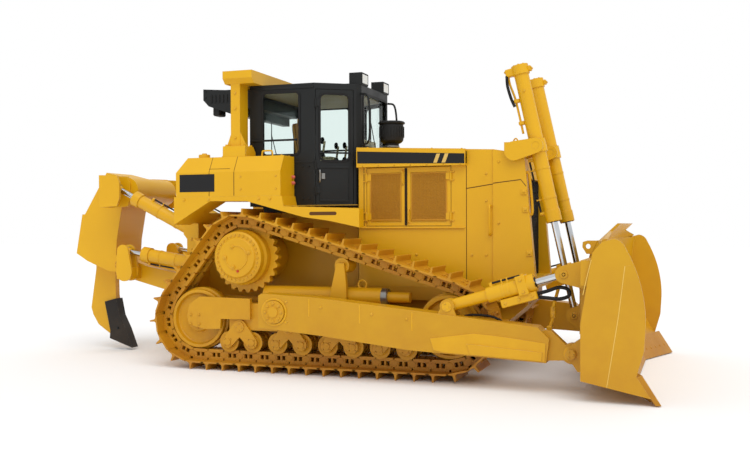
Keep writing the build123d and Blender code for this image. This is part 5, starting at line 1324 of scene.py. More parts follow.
@dataclass
class NoseGuard:
    """Radiator guard: side seams, hinge brackets, front pipe and grille louvres."""

    half: float = 0.618
    edge: Spots = ((2.525, 1.000), (2.412, 2.312))
    brackets: tuple[float, ...] = (2.098, 1.899, 1.401)
    screws: Spots = ((2.10, 2.45), (2.10, 1.75), (2.10, 1.10), (2.42, 1.10))
    seam: Spots = ((2.033, 2.205), (2.352, 2.241), (2.411, 2.165))
    pipe: Route = ((2.400, -0.560, 2.329), (2.440, -0.560, 2.280), (2.475, -0.560, 1.900),
                   (2.450, -0.560, 1.832))
    slats: int = 26
    slat_step: float = 0.0425

    def edge_x(self, z: float) -> float:
        """X of the guard's front edge at one height."""
        (x0, z0), (x1, z1) = self.edge
        return x0 + (x1 - x0) * (z - z0) / (z1 - z0)

    def build(self) -> None:
        """Build the guard's hardware and the grille's louvres."""
        for side in Side:
            with Fitting("nose_brackets_{}", FINISH.yellow, side=side) as piece:
                for z in self.brackets:
                    x = self.edge_x(z)
                    piece.box((x - 0.075, self.half - 0.003, z - 0.030),
                              (x - 0.008, self.half + 0.014, z + 0.030))
                    piece.bolt((x - 0.042, self.half + 0.014, z), OUT, 0.012)
                piece.side_bolts(self.screws, self.half, 0.012)
            with Fitting("nose_seams_{}", FINISH.groove, side=side) as seam:
                for (xa, za), (xb, zb) in pairwise(self.seam):
                    seam.plate(((xa, za - 0.005), (xb, zb - 0.005), (xb + 0.002, zb + 0.005),
                                (xa, za + 0.005)),
                               self.half - 0.002, self.half + 0.0012)
        with Fitting("nose_front_pipe", FINISH.yellow) as pipe:
            pipe.tube(self.pipe, 0.016, 12)
        with Fitting("grille_louvres", FINISH.black) as louvres:
            for z in (1.150 + step * self.slat_step for step in range(self.slats)):
                louvres.plate(((2.344, z), (2.366, z + 0.016), (2.366, z + 0.020), (2.344, z + 0.005)),
                              -0.500, 0.500)


@dataclass
class Precleaner:
    """Ribbed intake bowl with its lid, on a short stack."""

    foot: tuple[float, float, float] = (0.672, -0.200, 2.640)
    profile: Spots = ((0, 0), (0.112, 0), (0.112, 0.022), (0.094, 0.034), (0.090, 0.092), (0.118, 0.104),
                      (0.142, 0.128), (0.150, 0.168), (0.150, 0.300), (0.142, 0.330), (0.155, 0.334),
                      (0.165, 0.341), (0.165, 0.356), (0.150, 0.368), (0.085, 0.373), (0, 0.373))
    ribs: int = 24

    def build(self) -> None:
        """Build the bowl, the ribs, the lid and the clamp."""
        with Fitting("precleaner_bowl", FINISH.plastic, stands_for="precleaner") as bowl:
            bowl.turned(self.profile, self.foot, UP, 48)
            for x, y in around(self.ribs, 1.0):
                bowl.box((0.146, -0.004, 0.170), (0.157, 0.004, 0.300), 0.0015,
                         frame_matrix(self.foot, (x, y, 0)))
        with Fitting("precleaner_clamp", FINISH.zinc) as clamp:
            clamp.ring(0.088, 0.097, 0.050, 0.066, self.foot, UP)
            clamp.bolt(Vector(self.foot) + Vector((0, -0.096, 0.058)), -OUT, 0.010)


# Cab and its surroundings

@dataclass
class Cab:
    """Cab shell: window seals, guard bars, door handles, wipers and the rail."""

    wall: float = 0.848
    side_window: Spots = ((-0.770, 2.590), (-0.290, 3.335))
    door_corners: Spots = ((-0.090, 0.848), (0.340, 0.554))
    door_run: tuple[float, float] = (0.018, 0.479)
    door_window: Spots = ((0.073, 2.510), (0.424, 3.305))
    grip: Route = ((0.060, 0.0, 2.250), (0.060, 0.040, 2.262), (0.060, 0.040, 2.378), (0.060, 0.0, 2.390))
    ends: tuple[tuple[str, float, float, float, int], ...] = (("front", 0.384, 0.430, 2.700, 1),
                                                              ("rear", -0.950, 0.620, 2.590, -1))
    end_top: float = 3.335
    floor_plan: Spots = ((-0.890, -0.780), (-0.130, -0.780), (0.270, -0.500), (0.270, 0.500),
                         (-0.130, 0.780),
                         (-0.890, 0.780))
    linings: Spots = ((3.340, 3.366), (2.002, 2.016))
    rail: Route = ((0.384, 0.500, 3.330), (0.470, 0.520, 3.300), (0.500, 0.530, 3.100),
                   (0.500, 0.530, 2.820),
                   (0.470, 0.520, 2.730), (0.384, 0.500, 2.700))
    lap: float = 0.006

    def door_frame(self) -> Matrix:
        """Placement of the door's plane: X along the wall, Y outwards."""
        (x0, y0), (x1, y1) = self.door_corners
        return frame_matrix((x0, y0, 0), (x1 - x0, y1 - y0, 0))

    def seal(self, name: str, window: Spots, corner: float, place: Matrix, body: str = "machine",
             side: Side | None = None) -> None:
        """Rubber frame of one window.

        Args:
            name: the piece's name.
            window: low and high corner of the opening in its own plane.
            corner: radius of the opening's corners.
            place: placement of that plane.
            body: the body that it moves with.
            side: the side that it is mirrored to.
        """
        (x0, z0), (x1, z1) = window
        with Fitting(name, FINISH.rubber, body, side) as ring:
            low = Matrix.Translation(Vector((x0 + self.lap, -0.002, z0 + self.lap)))
            ring.window_ring((x1 - x0 - 2 * self.lap, z1 - z0 - 2 * self.lap), corner, place @ low)

    def door(self, side: Side) -> None:
        """Handle, latch plate, stiffening ribs and guard bar of one cab door.

        Args:
            side: the machine's side.
        """
        body, place = "cab_door_{}", self.door_frame()
        low, high = self.door_run
        (left, _), (right, _) = self.door_window
        with Fitting(body + "_trim", FINISH.black, body, side) as trim:
            for z0, z1 in ((2.010, 2.040), (2.415, 2.440)):
                trim.box((low + 0.045, -0.002, z0), (high - 0.045, 0.008, z1), 0.003, place)
            for run in (low + 0.045, high - 0.062):
                trim.box((run, -0.002, 2.040), (run + 0.017, 0.008, 2.415), 0.003, place)
            trim.box((left - 0.010, 0.006, 2.590), (right + 0.010, 0.020, 2.612), 0.004, place)
        with Fitting(body + "_handle", FINISH.zinc, body, side) as handle:
            handle.tube([place @ Vector(p) for p in self.grip], 0.010, 12)
            handle.box((0.085, -0.002, 2.285), (0.130, 0.010, 2.355), 0.004, place)

    def shell(self, side: Side) -> None:
        """Guard bars, body seams and the grab rail of one side.

        Args:
            side: the machine's side.
        """
        inner = self.wall - 0.002
        with Fitting("cab_guard_bars_{}", FINISH.black, side=side) as bars:
            bars.box((-0.945, inner, 2.752), (-0.310, self.wall + 0.014, 2.776), 0.005)
            bars.box((-0.940, inner, 2.480), (-0.100, self.wall + 0.006, 2.500), 0.002)
            bars.box((-0.940, inner, 3.378), (-0.095, self.wall + 0.010, 3.402))
            bars.side_bolts(tuple(product((-0.930, -0.860, -0.240, -0.160), (2.050, 2.440))), self.wall,
                            0.010)
        with Fitting("cab_grab_rail_{}", FINISH.black, side=side) as rail:
            rail.tube(self.rail, 0.013, 12)

    def pane(self, name: str, x: float, half: float, low: float, way: int) -> None:
        """Seal and wiper of the front or rear pane.

        Args:
            name: the pane's word.
            x: its outer face.
            half: half its width.
            low: its lower edge.
            way: 1 if it faces forward, -1 if it faces back.
        """
        turn = Matrix(((0, way, 0), (1, 0, 0), (0, 0, 1))).to_4x4()
        self.seal(f"cab_{name}_seal", ((-half, low), (half, self.end_top)), 0.05,
                  Matrix.Translation(Vector((x, 0, 0))) @ turn)
        with Fitting(f"cab_{name}_wiper", FINISH.plastic) as wiper:
            wiper.disc((x, 0.0, low - 0.05), FORWARD * way, 0.026, 0.022, 20)
            face = x + way * 0.016
            wiper.tube([(face, 0.0, low - 0.05), (face, -0.10, low + 0.12), (face, -0.20, low + 0.30)],
                       0.006, 8)
            wiper.box((face - 0.005, -0.215, low + 0.06), (face + 0.005, -0.203, low + 0.50), 0.002)

    def build(self) -> None:
        """Build both sides, the ends and the lining."""
        for side in Side:
            self.seal("side_window_seal_{}", self.side_window, 0.05, Matrix.Translation(OUT * self.wall),
                      side=side)
            self.seal("cab_door_{}_seal", self.door_window, 0.06, self.door_frame(), "cab_door_{}", side)
            self.door(side)
            self.shell(side)
        for end in self.ends:
            self.pane(*end)
        with Fitting("cab_lining", FINISH.trim) as lining:
            upright = Matrix(((1, 0, 0), (0, 0, 1), (0, 1, 0))).to_4x4()
            for low, high in self.linings:
                lining.plate(self.floor_plan, low, high, upright)
            lining.box((-0.905, -0.780, 2.020), (-0.860, 0.780, 2.560), 0.006)
            for _ in lining.both_sides():
                lining.box((-0.890, 0.775, 2.020), (-0.130, 0.805, 2.565), 0.006)


@dataclass
class Cushion:
    """Stuffed seat part: crowned, with soft corners, sides that pull in and sewn channels."""

    name: str
    half: tuple[float, float, float]
    place: Matrix
    stands_for: str = ""
    crown: float = 0.016
    channels: tuple[float, ...] = (-0.35, 0.35)
    steps: int = 22
    squareness: float = 7.0

    def shaped(self, point: Vector) -> Vector:
        """Move a point of the unit cube's skin onto the cushion's skin.

        Args:
            point: the point on the cube.

        Returns:
            The moved point.
        """
        x, y, z = point / sum(abs(part) ** self.squareness for part in point) ** (1 / self.squareness)
        pull = 1 - 0.035 * (1 - x * x) * abs(y) ** 4
        waist = 1 - 0.035 * (1 - y * y) * abs(x) ** 4
        seam = sum(math.exp(-((x - line) / 0.045) ** 2) for line in self.channels) * (1 - y ** 6)
        lift = self.crown * ((1 - x * x) * (1 - y * y) - 0.55 * seam) / self.half[2]
        top = z * (1 - self.crown / self.half[2]) + lift * min(1.0, max(0.0, (z - 0.3) / 0.4))
        return Vector((x * waist * self.half[0], y * pull * self.half[1], top * self.half[2]))

    def skin(self, piece: Fitting) -> None:
        """Add the cushion's closed skin to a piece.

        Args:
            piece: the piece that takes the shape.
        """
        row = self.steps + 1
        for axis, sign in product(range(3), (-1, 1)):
            corners = []
            for i, j in product(range(row), repeat=2):
                spot = {axis: sign, (axis + 1) % 3: 2 * i / self.steps - 1,
                        (axis + 2) % 3: 2 * j / self.steps - 1}
                corners.append(self.shaped(Vector([spot[k] for k in range(3)])))
            faces = [[i * row + j, (i + 1) * row + j, (i + 1) * row + j + 1, i * row + j + 1]
                     for i, j in product(range(self.steps), repeat=2)]
            piece.add(corners, faces, self.place)

    def build(self) -> None:
        """Build the cushion and the sewn cords along its edges."""
        with Fitting(self.name, FINISH.cloth, stands_for=self.stands_for) as piece:
            self.skin(piece)
        with Fitting(f"{self.name}_piping", FINISH.rubber) as cord:
            for height in (-0.62, 0.62):
                edge = [Vector((x, y, height * max(abs(x), abs(y)))) / max(abs(x), abs(y)) for x,
                        y in around(32, 1.0)]
                cord.tube([self.place @ self.shaped(point) for point in edge], 0.0035, 6, True, 2)


@dataclass
class OperatorStation:
    """Operator's seat with stuffed cushions, arm rests, levers, screen and knobs."""

    base: Route = ((-0.480, -0.200, 2.020), (-0.120, 0.200, 2.350))
    pan_centre: tuple[float, float, float] = (-0.305, 0, 2.425)
    back_foot: tuple[float, float, float] = (-0.585, 0, 2.500)
    back_head: tuple[float, float, float] = (-0.650, 0, 3.060)
    lever_x: tuple[float, ...] = (-0.300, -0.180)
    lever_y: tuple[float, ...] = (-0.380, 0.380)
    gaiter: Spots = ((0, 0), (0.045, 0), (0.034, 0.012), (0.038, 0.018), (0.026, 0.030), (0.030, 0.036),
                     (0.018, 0.052), (0, 0.052))
    grip: Spots = ((0, 0), (0.014, 0), (0.024, 0.020), (0.026, 0.055), (0.018, 0.080), (0, 0.088))

    def frame(self) -> None:
        """Suspension box, pan and back plate of the seat."""
        (x0, y0, z0), (x1, y1, z1) = self.base
        with Fitting("seat_frame", FINISH.plastic) as piece:
            piece.box((x0, y0, z0), (x1, y1, z0 + 0.050), 0.006)
            for step in range(6):
                z, inset = z0 + 0.055 + step * 0.036, 0.022 if step % 2 else 0.01
                piece.box((x0 + inset, y0 + inset, z), (x1 - inset, y1 - inset, z + 0.034), 0.008)
            piece.box((x0 - 0.04, y0 - 0.03, z1 - 0.06), (x1 + 0.05, y1 + 0.03, z1 + 0.012), 0.008)
            piece.box((-0.665, -0.190, 2.420), (-0.632, 0.190, 2.900), 0.010)

    def turned_set(self, name: str, finish: Finish, profile: Spots, z: float) -> None:
        """One turned shape on each lever.

        Args:
            name: its name.
            finish: its finish.
            profile: its half section.
            z: height of its foot.
        """
        with Fitting(name, finish) as piece:
            for x, y in product(self.lever_x, self.lever_y):
                piece.turned(profile, (x, y, z), UP, 20)

    def build(self) -> None:
        """Build the seat, the levers, the arm pads, the display and the pedals."""
        foot, head = Vector(self.back_foot), Vector(self.back_head)
        lean = (head - foot).normalized()
        back = Matrix.Translation((foot + head) / 2) @ Matrix((lean, OUT,
                                                               lean.cross(OUT))).transposed().to_4x4()
        Cushion("seat_cushion", (0.245, 0.255, 0.062), Matrix.Translation(self.pan_centre), "seat").build()
        Cushion("seat_back", (0.270, 0.240, 0.045), back).build()
        self.frame()
        self.turned_set("lever_gaiters", FINISH.rubber, self.gaiter, 2.580)
        self.turned_set("lever_grips", FINISH.plastic, self.grip, 2.745)
        with Fitting("arm_pads", FINISH.plastic) as pads:
            for _ in pads.both_sides():
                pads.box((-0.530, 0.290, 2.600), (-0.345, 0.400, 2.640), 0.016)
        with Fitting("display", FINISH.plastic) as screen:
            screen.box((0.105, -0.130, 2.620), (0.148, 0.130, 2.780), 0.008)
            for step in range(6):
                screen.disc((0.105, -0.100 + step * 0.04, 2.590), -FORWARD, 0.010, 0.008, 12)
        with Fitting("pedals", FINISH.rubber) as pedals:
            for y in (-0.16, 0.0, 0.16):
                pedals.box((0.085, y - 0.05, 2.060), (0.105, y + 0.05, 2.190), 0.005)
                pedals.bar((0.10, y, 2.08), (0.16, y, 2.12), 0.010, 10)


@dataclass
class ClimateUnit:
    """Housing behind the cab: louvres, screws and work lamps."""

    half: float = 0.640
    lamp_y: tuple[float, ...] = (-0.52, 0.52)
    screws: Spots = ((-1.680, 3.360), (-1.680, 3.440), (-0.980, 3.400), (-1.000, 3.240))

    def build(self) -> None:
        """Build the housing's trim and lamps."""
        with Fitting("climate_louvres", FINISH.plastic) as vents:
            for _ in vents.both_sides():
                for x in (-1.610 + step * 0.055 for step in range(6)):
                    vents.sheet((x, 3.290), (x + 0.022, 3.390), self.half - 0.003, self.half + 0.008)
                vents.side_bolts(self.screws, self.half, 0.009)
            for y in (-0.48 + step * 0.12 for step in range(9)):
                vents.box((-1.690, y, 3.455), (-1.250, y + 0.05, 3.474))
        for number, y in enumerate(self.lamp_y, 1):
            with Fitting(f"rear_lamp_housing_{number}", FINISH.plastic) as lamp:
                lamp.box((-1.600, y - 0.085, 3.130), (-1.500, y + 0.085, 3.245), 0.014)
                lamp.bar((-1.535, y, 3.23), (-1.535, y, 3.275), 0.014, 12)
            with Fitting(f"rear_lamp_lens_{number}", FINISH.lens) as lens:
                lens.box((-1.606, y - 0.070, 3.144), (-1.598, y + 0.070, 3.230), 0.003)


@dataclass
class RolloverBar:
    """Rollover bar: base bolts, gussets and the roof lamps' lenses."""

    post: tuple[float, float] = (-1.087, -0.964)
    outer: float = 1.080
    base_top: float = 2.686
    foot_x: tuple[float, ...] = (-1.126, -0.910)
    foot_y: tuple[float, ...] = (0.905, 1.010, 1.115)
    post_bolts: tuple[float, ...] = (2.790, 3.145, 3.330)
    lamp_y: tuple[float, float] = (0.305, 0.495)
    frame_y: tuple[float, float] = (0.292, 0.508)

    def build(self) -> None:
        """Build the bolts, the gussets and the lamps' faces."""
        rear, front = self.post
        low = self.base_top
        with Fitting("rollover_bolts", FINISH.yellow) as piece:
            for _ in piece.both_sides():
                for x, y in product(self.foot_x, self.foot_y):
                    piece.bolt((x, y, low), UP, 0.020)
                piece.side_bolts(tuple(((rear + front) / 2, z) for z in self.post_bolts), self.outer, 0.014)
                for gusset in (((rear, low), (-1.145, low), (rear, 2.840)),
                               ((front, low), (-0.880, low), (front, 2.860))):
                    piece.plate(gusset, self.outer - 0.023, self.outer - 0.005)
        with Fitting("roof_lamp_lenses", FINISH.lens) as lamps:
            for _ in lamps.both_sides():
                lamps.box((0.388, self.lamp_y[0], 3.462), (0.398, self.lamp_y[1], 3.572))
        with Fitting("roof_lamp_frames", FINISH.plastic) as frames:
            inner, outer = self.frame_y
            for _ in frames.both_sides():
                for z in (3.447, 3.575):
                    frames.box((0.385, inner, z), (0.401, outer, z + 0.012), 0.003)
                for y in (inner, outer - 0.010):
                    frames.box((0.385, y, 3.447), (0.401, y + 0.010, 3.587), 0.003)


@dataclass
class TanksAndFenders:
    """Side tanks and fenders: seams, plate, caps, handles and bolts."""

    face: float = 1.250
    top: float = 2.556
    plate: Spots = ((-1.698, 2.136), (-1.221, 2.347))
    seams: tuple[float, ...] = (-1.293, -0.959)
    handle: Spots = ((-0.661, 2.556), (-0.655, 2.600), (-0.640, 2.618), (-0.541, 2.618), (-0.526, 2.600),
                     (-0.520, 2.556))
    top_bolts: Spots = ((-1.183, 1.110), (-1.700, 0.900), (-0.400, 0.900), (-0.400, 1.110))
    low_bolts: Spots = ((-1.635, 2.044), (-1.300, 2.044), (-0.633, 2.044), (-0.485, 2.044))
    panel_bolts: Spots = ((-0.410, 2.310), (-0.410, 2.160), (-0.870, 2.310), (-0.870, 2.160))
    slot_ends: tuple[float, float] = (0.334, 0.035)
    slot_z: float = 1.865
    slot_radius: float = 0.020

    def slot_outline(self) -> list[tuple[float, float]]:
        """Outline of the fender's long slot, with round ends.

        Returns:
            The corners of the outline.
        """
        outline = []
        for x, start in zip(self.slot_ends, (-0.5, 0.5)):
            for angle in (math.pi * (start + step / 8) for step in range(9)):
                outline.append((x + self.slot_radius * math.cos(angle),
                                self.slot_z + self.slot_radius * math.sin(angle)))
        return outline

    def tank(self, side: Side) -> None:
        """Plate and seams of one tank.

        Args:
            side: the machine's side.
        """
        (x0, z0), (x1, z1) = self.plate
        inner, outer = self.face - 0.003, self.face + 0.0015
        with Fitting("tank_plate_{}", FINISH.stripe, side=side) as sign:
            sign.box((x0, inner, z0), (x1, self.face + 0.003, z1), 0.001)
        with Fitting("tank_seams_{}", FINISH.groove, side=side) as seams:
            for x in self.seams:
                seams.sheet((x - 0.004, 2.085), (x + 0.004, 2.366), inner, outer)
                seams.tube([(x, self.face, 2.370), (x, 1.150, self.top)], 0.003, 6)
            seams.tube([(-1.302, 1.229, 2.409), (-1.021, 1.229, 2.409)], 0.003, 6)

    def trim(self, side: Side) -> None:
        """Handle, caps, bolts, fender treads, slot and drain knobs of one side.

        Args:
            side: the machine's side.
        """
        with Fitting("tank_trim_{}", FINISH.yellow, side=side) as trim:
            trim.tube([(x, 1.100, z) for x, z in self.handle], 0.010)
            trim.disc((-1.480, 1.030, self.top), UP, 0.070, 0.045, 32)
            trim.disc((-1.480, 1.030, 2.600), UP, 0.030, 0.016, 20)
            for x, y in self.top_bolts:
                trim.bolt((x, y, self.top), UP, 0.012)
            trim.side_bolts(self.low_bolts, self.face, 0.014)
            trim.side_bolts(self.panel_bolts, self.face, 0.009)
            trim.box((-0.300, 1.190, 1.958), (0.600, 1.246, 1.962), 0.001)
            for x in (-0.240 + step * 0.105 for step in range(8)):
                trim.box((x, 0.920, 1.905), (x + 0.030, 1.210, 1.956 - 0.034 * (x + 0.3)), 0.003)
        # The slot is a dark sheet on the face: painted shade inside the opening
        with Fitting("fender_slot_{}", FINISH.groove, side=side) as slot:
            slot.plate(self.slot_outline(), self.face - 0.003, self.face + 0.0015)
        with Fitting("drain_knobs_{}", FINISH.knob, side=side) as knobs:
            for z in (2.310, 2.238):
                knobs.disc((-0.350, 0.920, z), FORWARD, 0.020, 0.036, 20, 0.4)

    def build(self) -> None:
        """Build both sides' trim."""
        for side in Side:
            self.tank(side)
            self.trim(side)


# Blade, arms and cylinders

@dataclass(frozen=True)
class CylinderLine:
    """Axis of a cylinder in the X-Z plane, from its pivot to its rod's eye."""

    pivot: tuple[float, float]
    eye: tuple[float, float]
    y: float

    @property
    def run(self) -> Vector:
        """Direction from the pivot to the eye."""
        return Vector((self.eye[0] - self.pivot[0], 0, self.eye[1] - self.pivot[1])).normalized()

    @property
    def across(self) -> Vector:
        """Direction to the left of the run, in the X-Z plane."""
        return Vector((-self.run.z, 0, self.run.x))

    @property
    def reach(self) -> float:
        """Distance from the pivot to the eye."""
        return math.dist(self.pivot, self.eye)

    def at(self, distance: float, offset: float = 0.0, outwards: float = 0.0) -> Vector:
        """Point at a distance from the pivot, offset across the run and outwards."""
        start = Vector((self.pivot[0], self.y, self.pivot[1]))
        return start + self.run * distance + self.across * offset + OUT * outwards


LIFT_LINE = CylinderLine((2.530, 2.617), (2.951, 0.713), 0.545)
TILT_LINE = CylinderLine((1.740, 0.862), (2.967, 1.221), 1.485)
RIPPER_TILT_LINE = CylinderLine((-1.885, 1.660), (-3.044, 2.232), 0.600)
RIPPER_LIFT_LINE = CylinderLine((-1.885, 1.245), (-2.910, 1.397), 0.600)


@dataclass
class HydraulicPair:
    """Ports, pipes, gland bolts and eye caps on both cylinders of a pair."""

    name: str
    line: CylinderLine
    barrel: float
    gland: float
    head: tuple[float, float]
    pipe_start: float
    pipe_offset: float
    eye_half: float = 0.048

    def ports(self, steel: Fitting) -> None:
        """Add the gland bolts, the two ports and the pipe's clamps.

        Args:
            steel: the piece that takes them.
        """
        line, offset, (low, high) = self.line, self.pipe_offset, self.head
        way = math.copysign(1, offset)
        inner = self.barrel * 0.9
        steel.bolt_ring(line.at(high), line.run, self.gland - 0.016, 8, 0.009)
        for distance in (self.pipe_start, low + 0.02):
            steel.bar(line.at(distance, inner * way), line.at(distance, offset + way * 0.012), 0.021, 16)
        for distance in (self.pipe_start + 0.12, low - 0.14):
            steel.bar(line.at(distance, inner * way), line.at(distance, offset + way * 0.018), 0.012, 10)
            profile = ((self.barrel - 0.002, -0.012), (self.barrel + 0.004, -0.012),
                       (self.barrel + 0.004, 0.012),
                       (self.barrel - 0.002, 0.012))
            steel.turned(profile, line.at(distance), line.run, 40)

    def build(self) -> None:
        """Dress both cylinders."""
        line, offset, (low, high) = self.line, self.pipe_offset, self.head
        stops = (self.pipe_start, self.pipe_start + 0.1, low - 0.12, low + 0.02)
        lip, neck = self.gland * 0.62, line.reach - 0.078
        for side in Side:
            with Fitting(self.name + "_ports_{}", FINISH.yellow, f"{self.name}_barrels", side) as steel:
                self.ports(steel)
            with Fitting(self.name + "_pipe_{}", FINISH.rubber, f"{self.name}_barrels", side) as pipe:
                pipe.tube([line.at(distance, offset) for distance in stops], 0.011)
            with Fitting(self.name + "_wiper_ring_{}", FINISH.rubber, f"{self.name}_barrels", side) as seal:
                seal.turned(((0, 0), (lip, 0), (lip, 0.006), (self.gland * 0.5, 0.010), (0, 0.010)),
                            line.at(high - 0.001), line.run, 32)
            with Fitting(self.name + "_eye_{}", FINISH.yellow, f"{self.name}_rods", side) as eye:
                for way in (-1, 1):
                    eye.disc(line.at(line.reach, 0, way * self.eye_half), OUT * way, 0.034, 0.005)
                eye.turned(((0, 0), (0.040, 0), (0.050, 0.018), (0.050, 0.040), (0, 0.040)), line.at(neck),
                           line.run, 32)


@dataclass
class LiftHeads:
    """Top manifolds, feed pipes and hoses of the blade lift cylinders."""

    line: CylinderLine = LIFT_LINE
    top: float = -0.950
    feed: Spots = ((-0.870, -0.150), (-0.760, -0.150), (-0.600, -0.128), (-0.420, -0.124), (-0.180, -0.124))
    bend: Spots = ((-0.865, -0.162), (-0.750, -0.178), (-0.600, -0.168), (-0.500, -0.148))
    clamps: tuple[float, ...] = (-0.560, -0.300)
    tag_bolts: tuple[float, ...] = (-0.860, -0.640)

    def build(self) -> None:
        """Dress the upper ends of both cylinders."""
        line = self.line
        cap = line.at(self.top + 0.002)
        place = frame_matrix(line.at(self.top + 0.052), line.run, -line.across)
        for side in Side:
            with Fitting("lift_manifold_{}", FINISH.yellow, "lift_barrels", side) as steel:
                steel.bolt_ring(cap, -line.run, 0.075, 8, 0.010)
                steel.disc(cap, -line.run, 0.052, 0.012, 28)
                steel.box((-0.040, -0.045, 0.070), (0.050, 0.045, 0.172), 0.010, place)
                steel.box((-0.020, -0.035, -0.128), (0.040, 0.035, -0.085), 0.008, place)
                for outwards in (-0.025, 0.025):
                    steel.bolt(line.at(self.top + 0.040, -0.172, outwards), -line.across, 0.011)
                    steel.bolt(line.at(self.top + 0.065, 0.127, outwards), line.across, 0.011)
                steel.tube([line.at(*spot) for spot in self.feed], 0.013, 12)
                for distance in self.clamps:
                    steel.box_on(line, (distance - 0.022, distance + 0.022), (-0.148, -0.078), 0.030)
                for distance in self.tag_bolts:
                    steel.bolt(line.at(distance, 0, 0.083), OUT, 0.013)
            with Fitting("lift_hose_{}", FINISH.rubber, "lift_barrels", side) as hose:
                hose.tube([line.at(*spot, 0.030) for spot in self.bend], 0.017, 12)


@dataclass
class TiltHeads:
    """Head blocks, valve covers and hose loops of the tilt cylinders."""

    line: CylinderLine = TILT_LINE
    cover: tuple[float, float] = (0.560, 0.950)
    loop: Spots = ((0.945, -0.120), (1.060, -0.120), (1.180, -0.115), (1.262, -0.160), (1.250, -0.225),
                   (1.150, -0.230), (1.040, -0.190), (0.945, -0.155))

    def build(self) -> None:
        """Dress both cylinders."""
        line = self.line
        for side in Side:
            with Fitting("tilt_head_{}", FINISH.yellow, "tilt_barrels", side) as block:
                block.box_on(line, (0.775, 0.885), (-0.100, 0.108), 0.098)
                block.box_on(line, self.cover, (-0.172, -0.084), 0.066)
                for distance in (self.cover[0] + 0.05, 0.76, self.cover[1] - 0.05):
                    block.bolt(line.at(distance, -0.130, 0.066), OUT, 0.013)
                for offset in (-0.065, 0.065):
                    block.bolt(line.at(0.830, offset, 0.098), OUT, 0.015)
            with Fitting("tilt_hose_{}", FINISH.rubber, "tilt_barrels", side) as hose:
                hose.tube([line.at(*spot) for spot in self.loop], 0.019, 12)


@dataclass
class PushArms:
    """Push arms: raised plates, pin caps, cylinder mount box, bolts, tag links and hoses."""

    face: float = 1.600
    plates: tuple[Spots, ...] = (
        ((1.560, 0.522), (2.032, 0.591), (2.314, 0.570), (2.785, 0.516), (2.774, 0.326), (1.700, 0.378),
         (1.600, 0.400)),
        ((1.960, 0.478), (2.314, 0.453), (2.752, 0.421), (2.745, 0.330), (2.000, 0.366)),
    )
    bolts: Spots = ((-0.360, 0.640), (-0.360, 0.870), (-0.120, 0.640), (-0.120, 0.870), (0.300, 0.820),
                    (0.900, 0.760), (1.300, 0.720))
    trunnion: tuple[float, float, float] = (-0.270, 1.600, 0.750)
    pin: tuple[float, float, float] = (3.037, 1.533, 0.410)
    pivot: tuple[float, float, float] = (1.740, 1.583, 0.862)
    link: Route = ((2.884, 1.335, 1.090), (2.826, 1.335, 0.865), (2.822, 1.335, 0.765),
                   (2.790, 1.335, 0.660))
    hose: Route = ((2.300, 1.440, 0.715), (2.180, 1.440, 0.760), (2.000, 1.440, 0.770),
                   (1.900, 1.440, 0.755))

    def build(self) -> None:
        """Dress both arms."""
        for side in Side:
            with Fitting("arm_plates_{}", FINISH.yellow, "push_arms", side) as arm:
                for outline, proud in zip(self.plates, (0.008, 0.018)):
                    arm.plate(outline, self.face - 0.004, self.face + proud)
                arm.side_bolts(self.bolts, self.face, 0.013)
                for x in (0.150, 0.750, 1.350):
                    top = 0.930 - 0.0962 * (x - 0.150)
                    arm.box((x, self.face - 0.006, top - 0.22), (x + 0.016, self.face + 0.004, top - 0.02),
                            0.003)
                arm.ring(0.136, 0.158, 0, 0.010, self.trunnion, OUT, 48)
                arm.disc(self.pin, OUT, 0.082, 0.005, 40)
                arm.disc(self.pivot, OUT, 0.054, 0.012, 32)
                arm.bolt_ring(Vector(self.pivot) + OUT * 0.012, OUT, 0.034, 3, 0.009,
                              THREE_BOLT_START[side])
                arm.tube(self.link, 0.018)
                arm.box((2.795, 1.310, 0.755), (2.850, 1.362, 0.870), 0.008)
                arm.side_bolts(((2.822, 0.840), (2.822, 0.785)), 1.362, 0.014)
                arm.box((2.755, 1.312, 0.628), (2.815, 1.372, 0.668), 0.006)
            with Fitting("arm_hose_{}", FINISH.rubber, "push_arms", side) as hose:
                hose.tube(self.hose, 0.013)


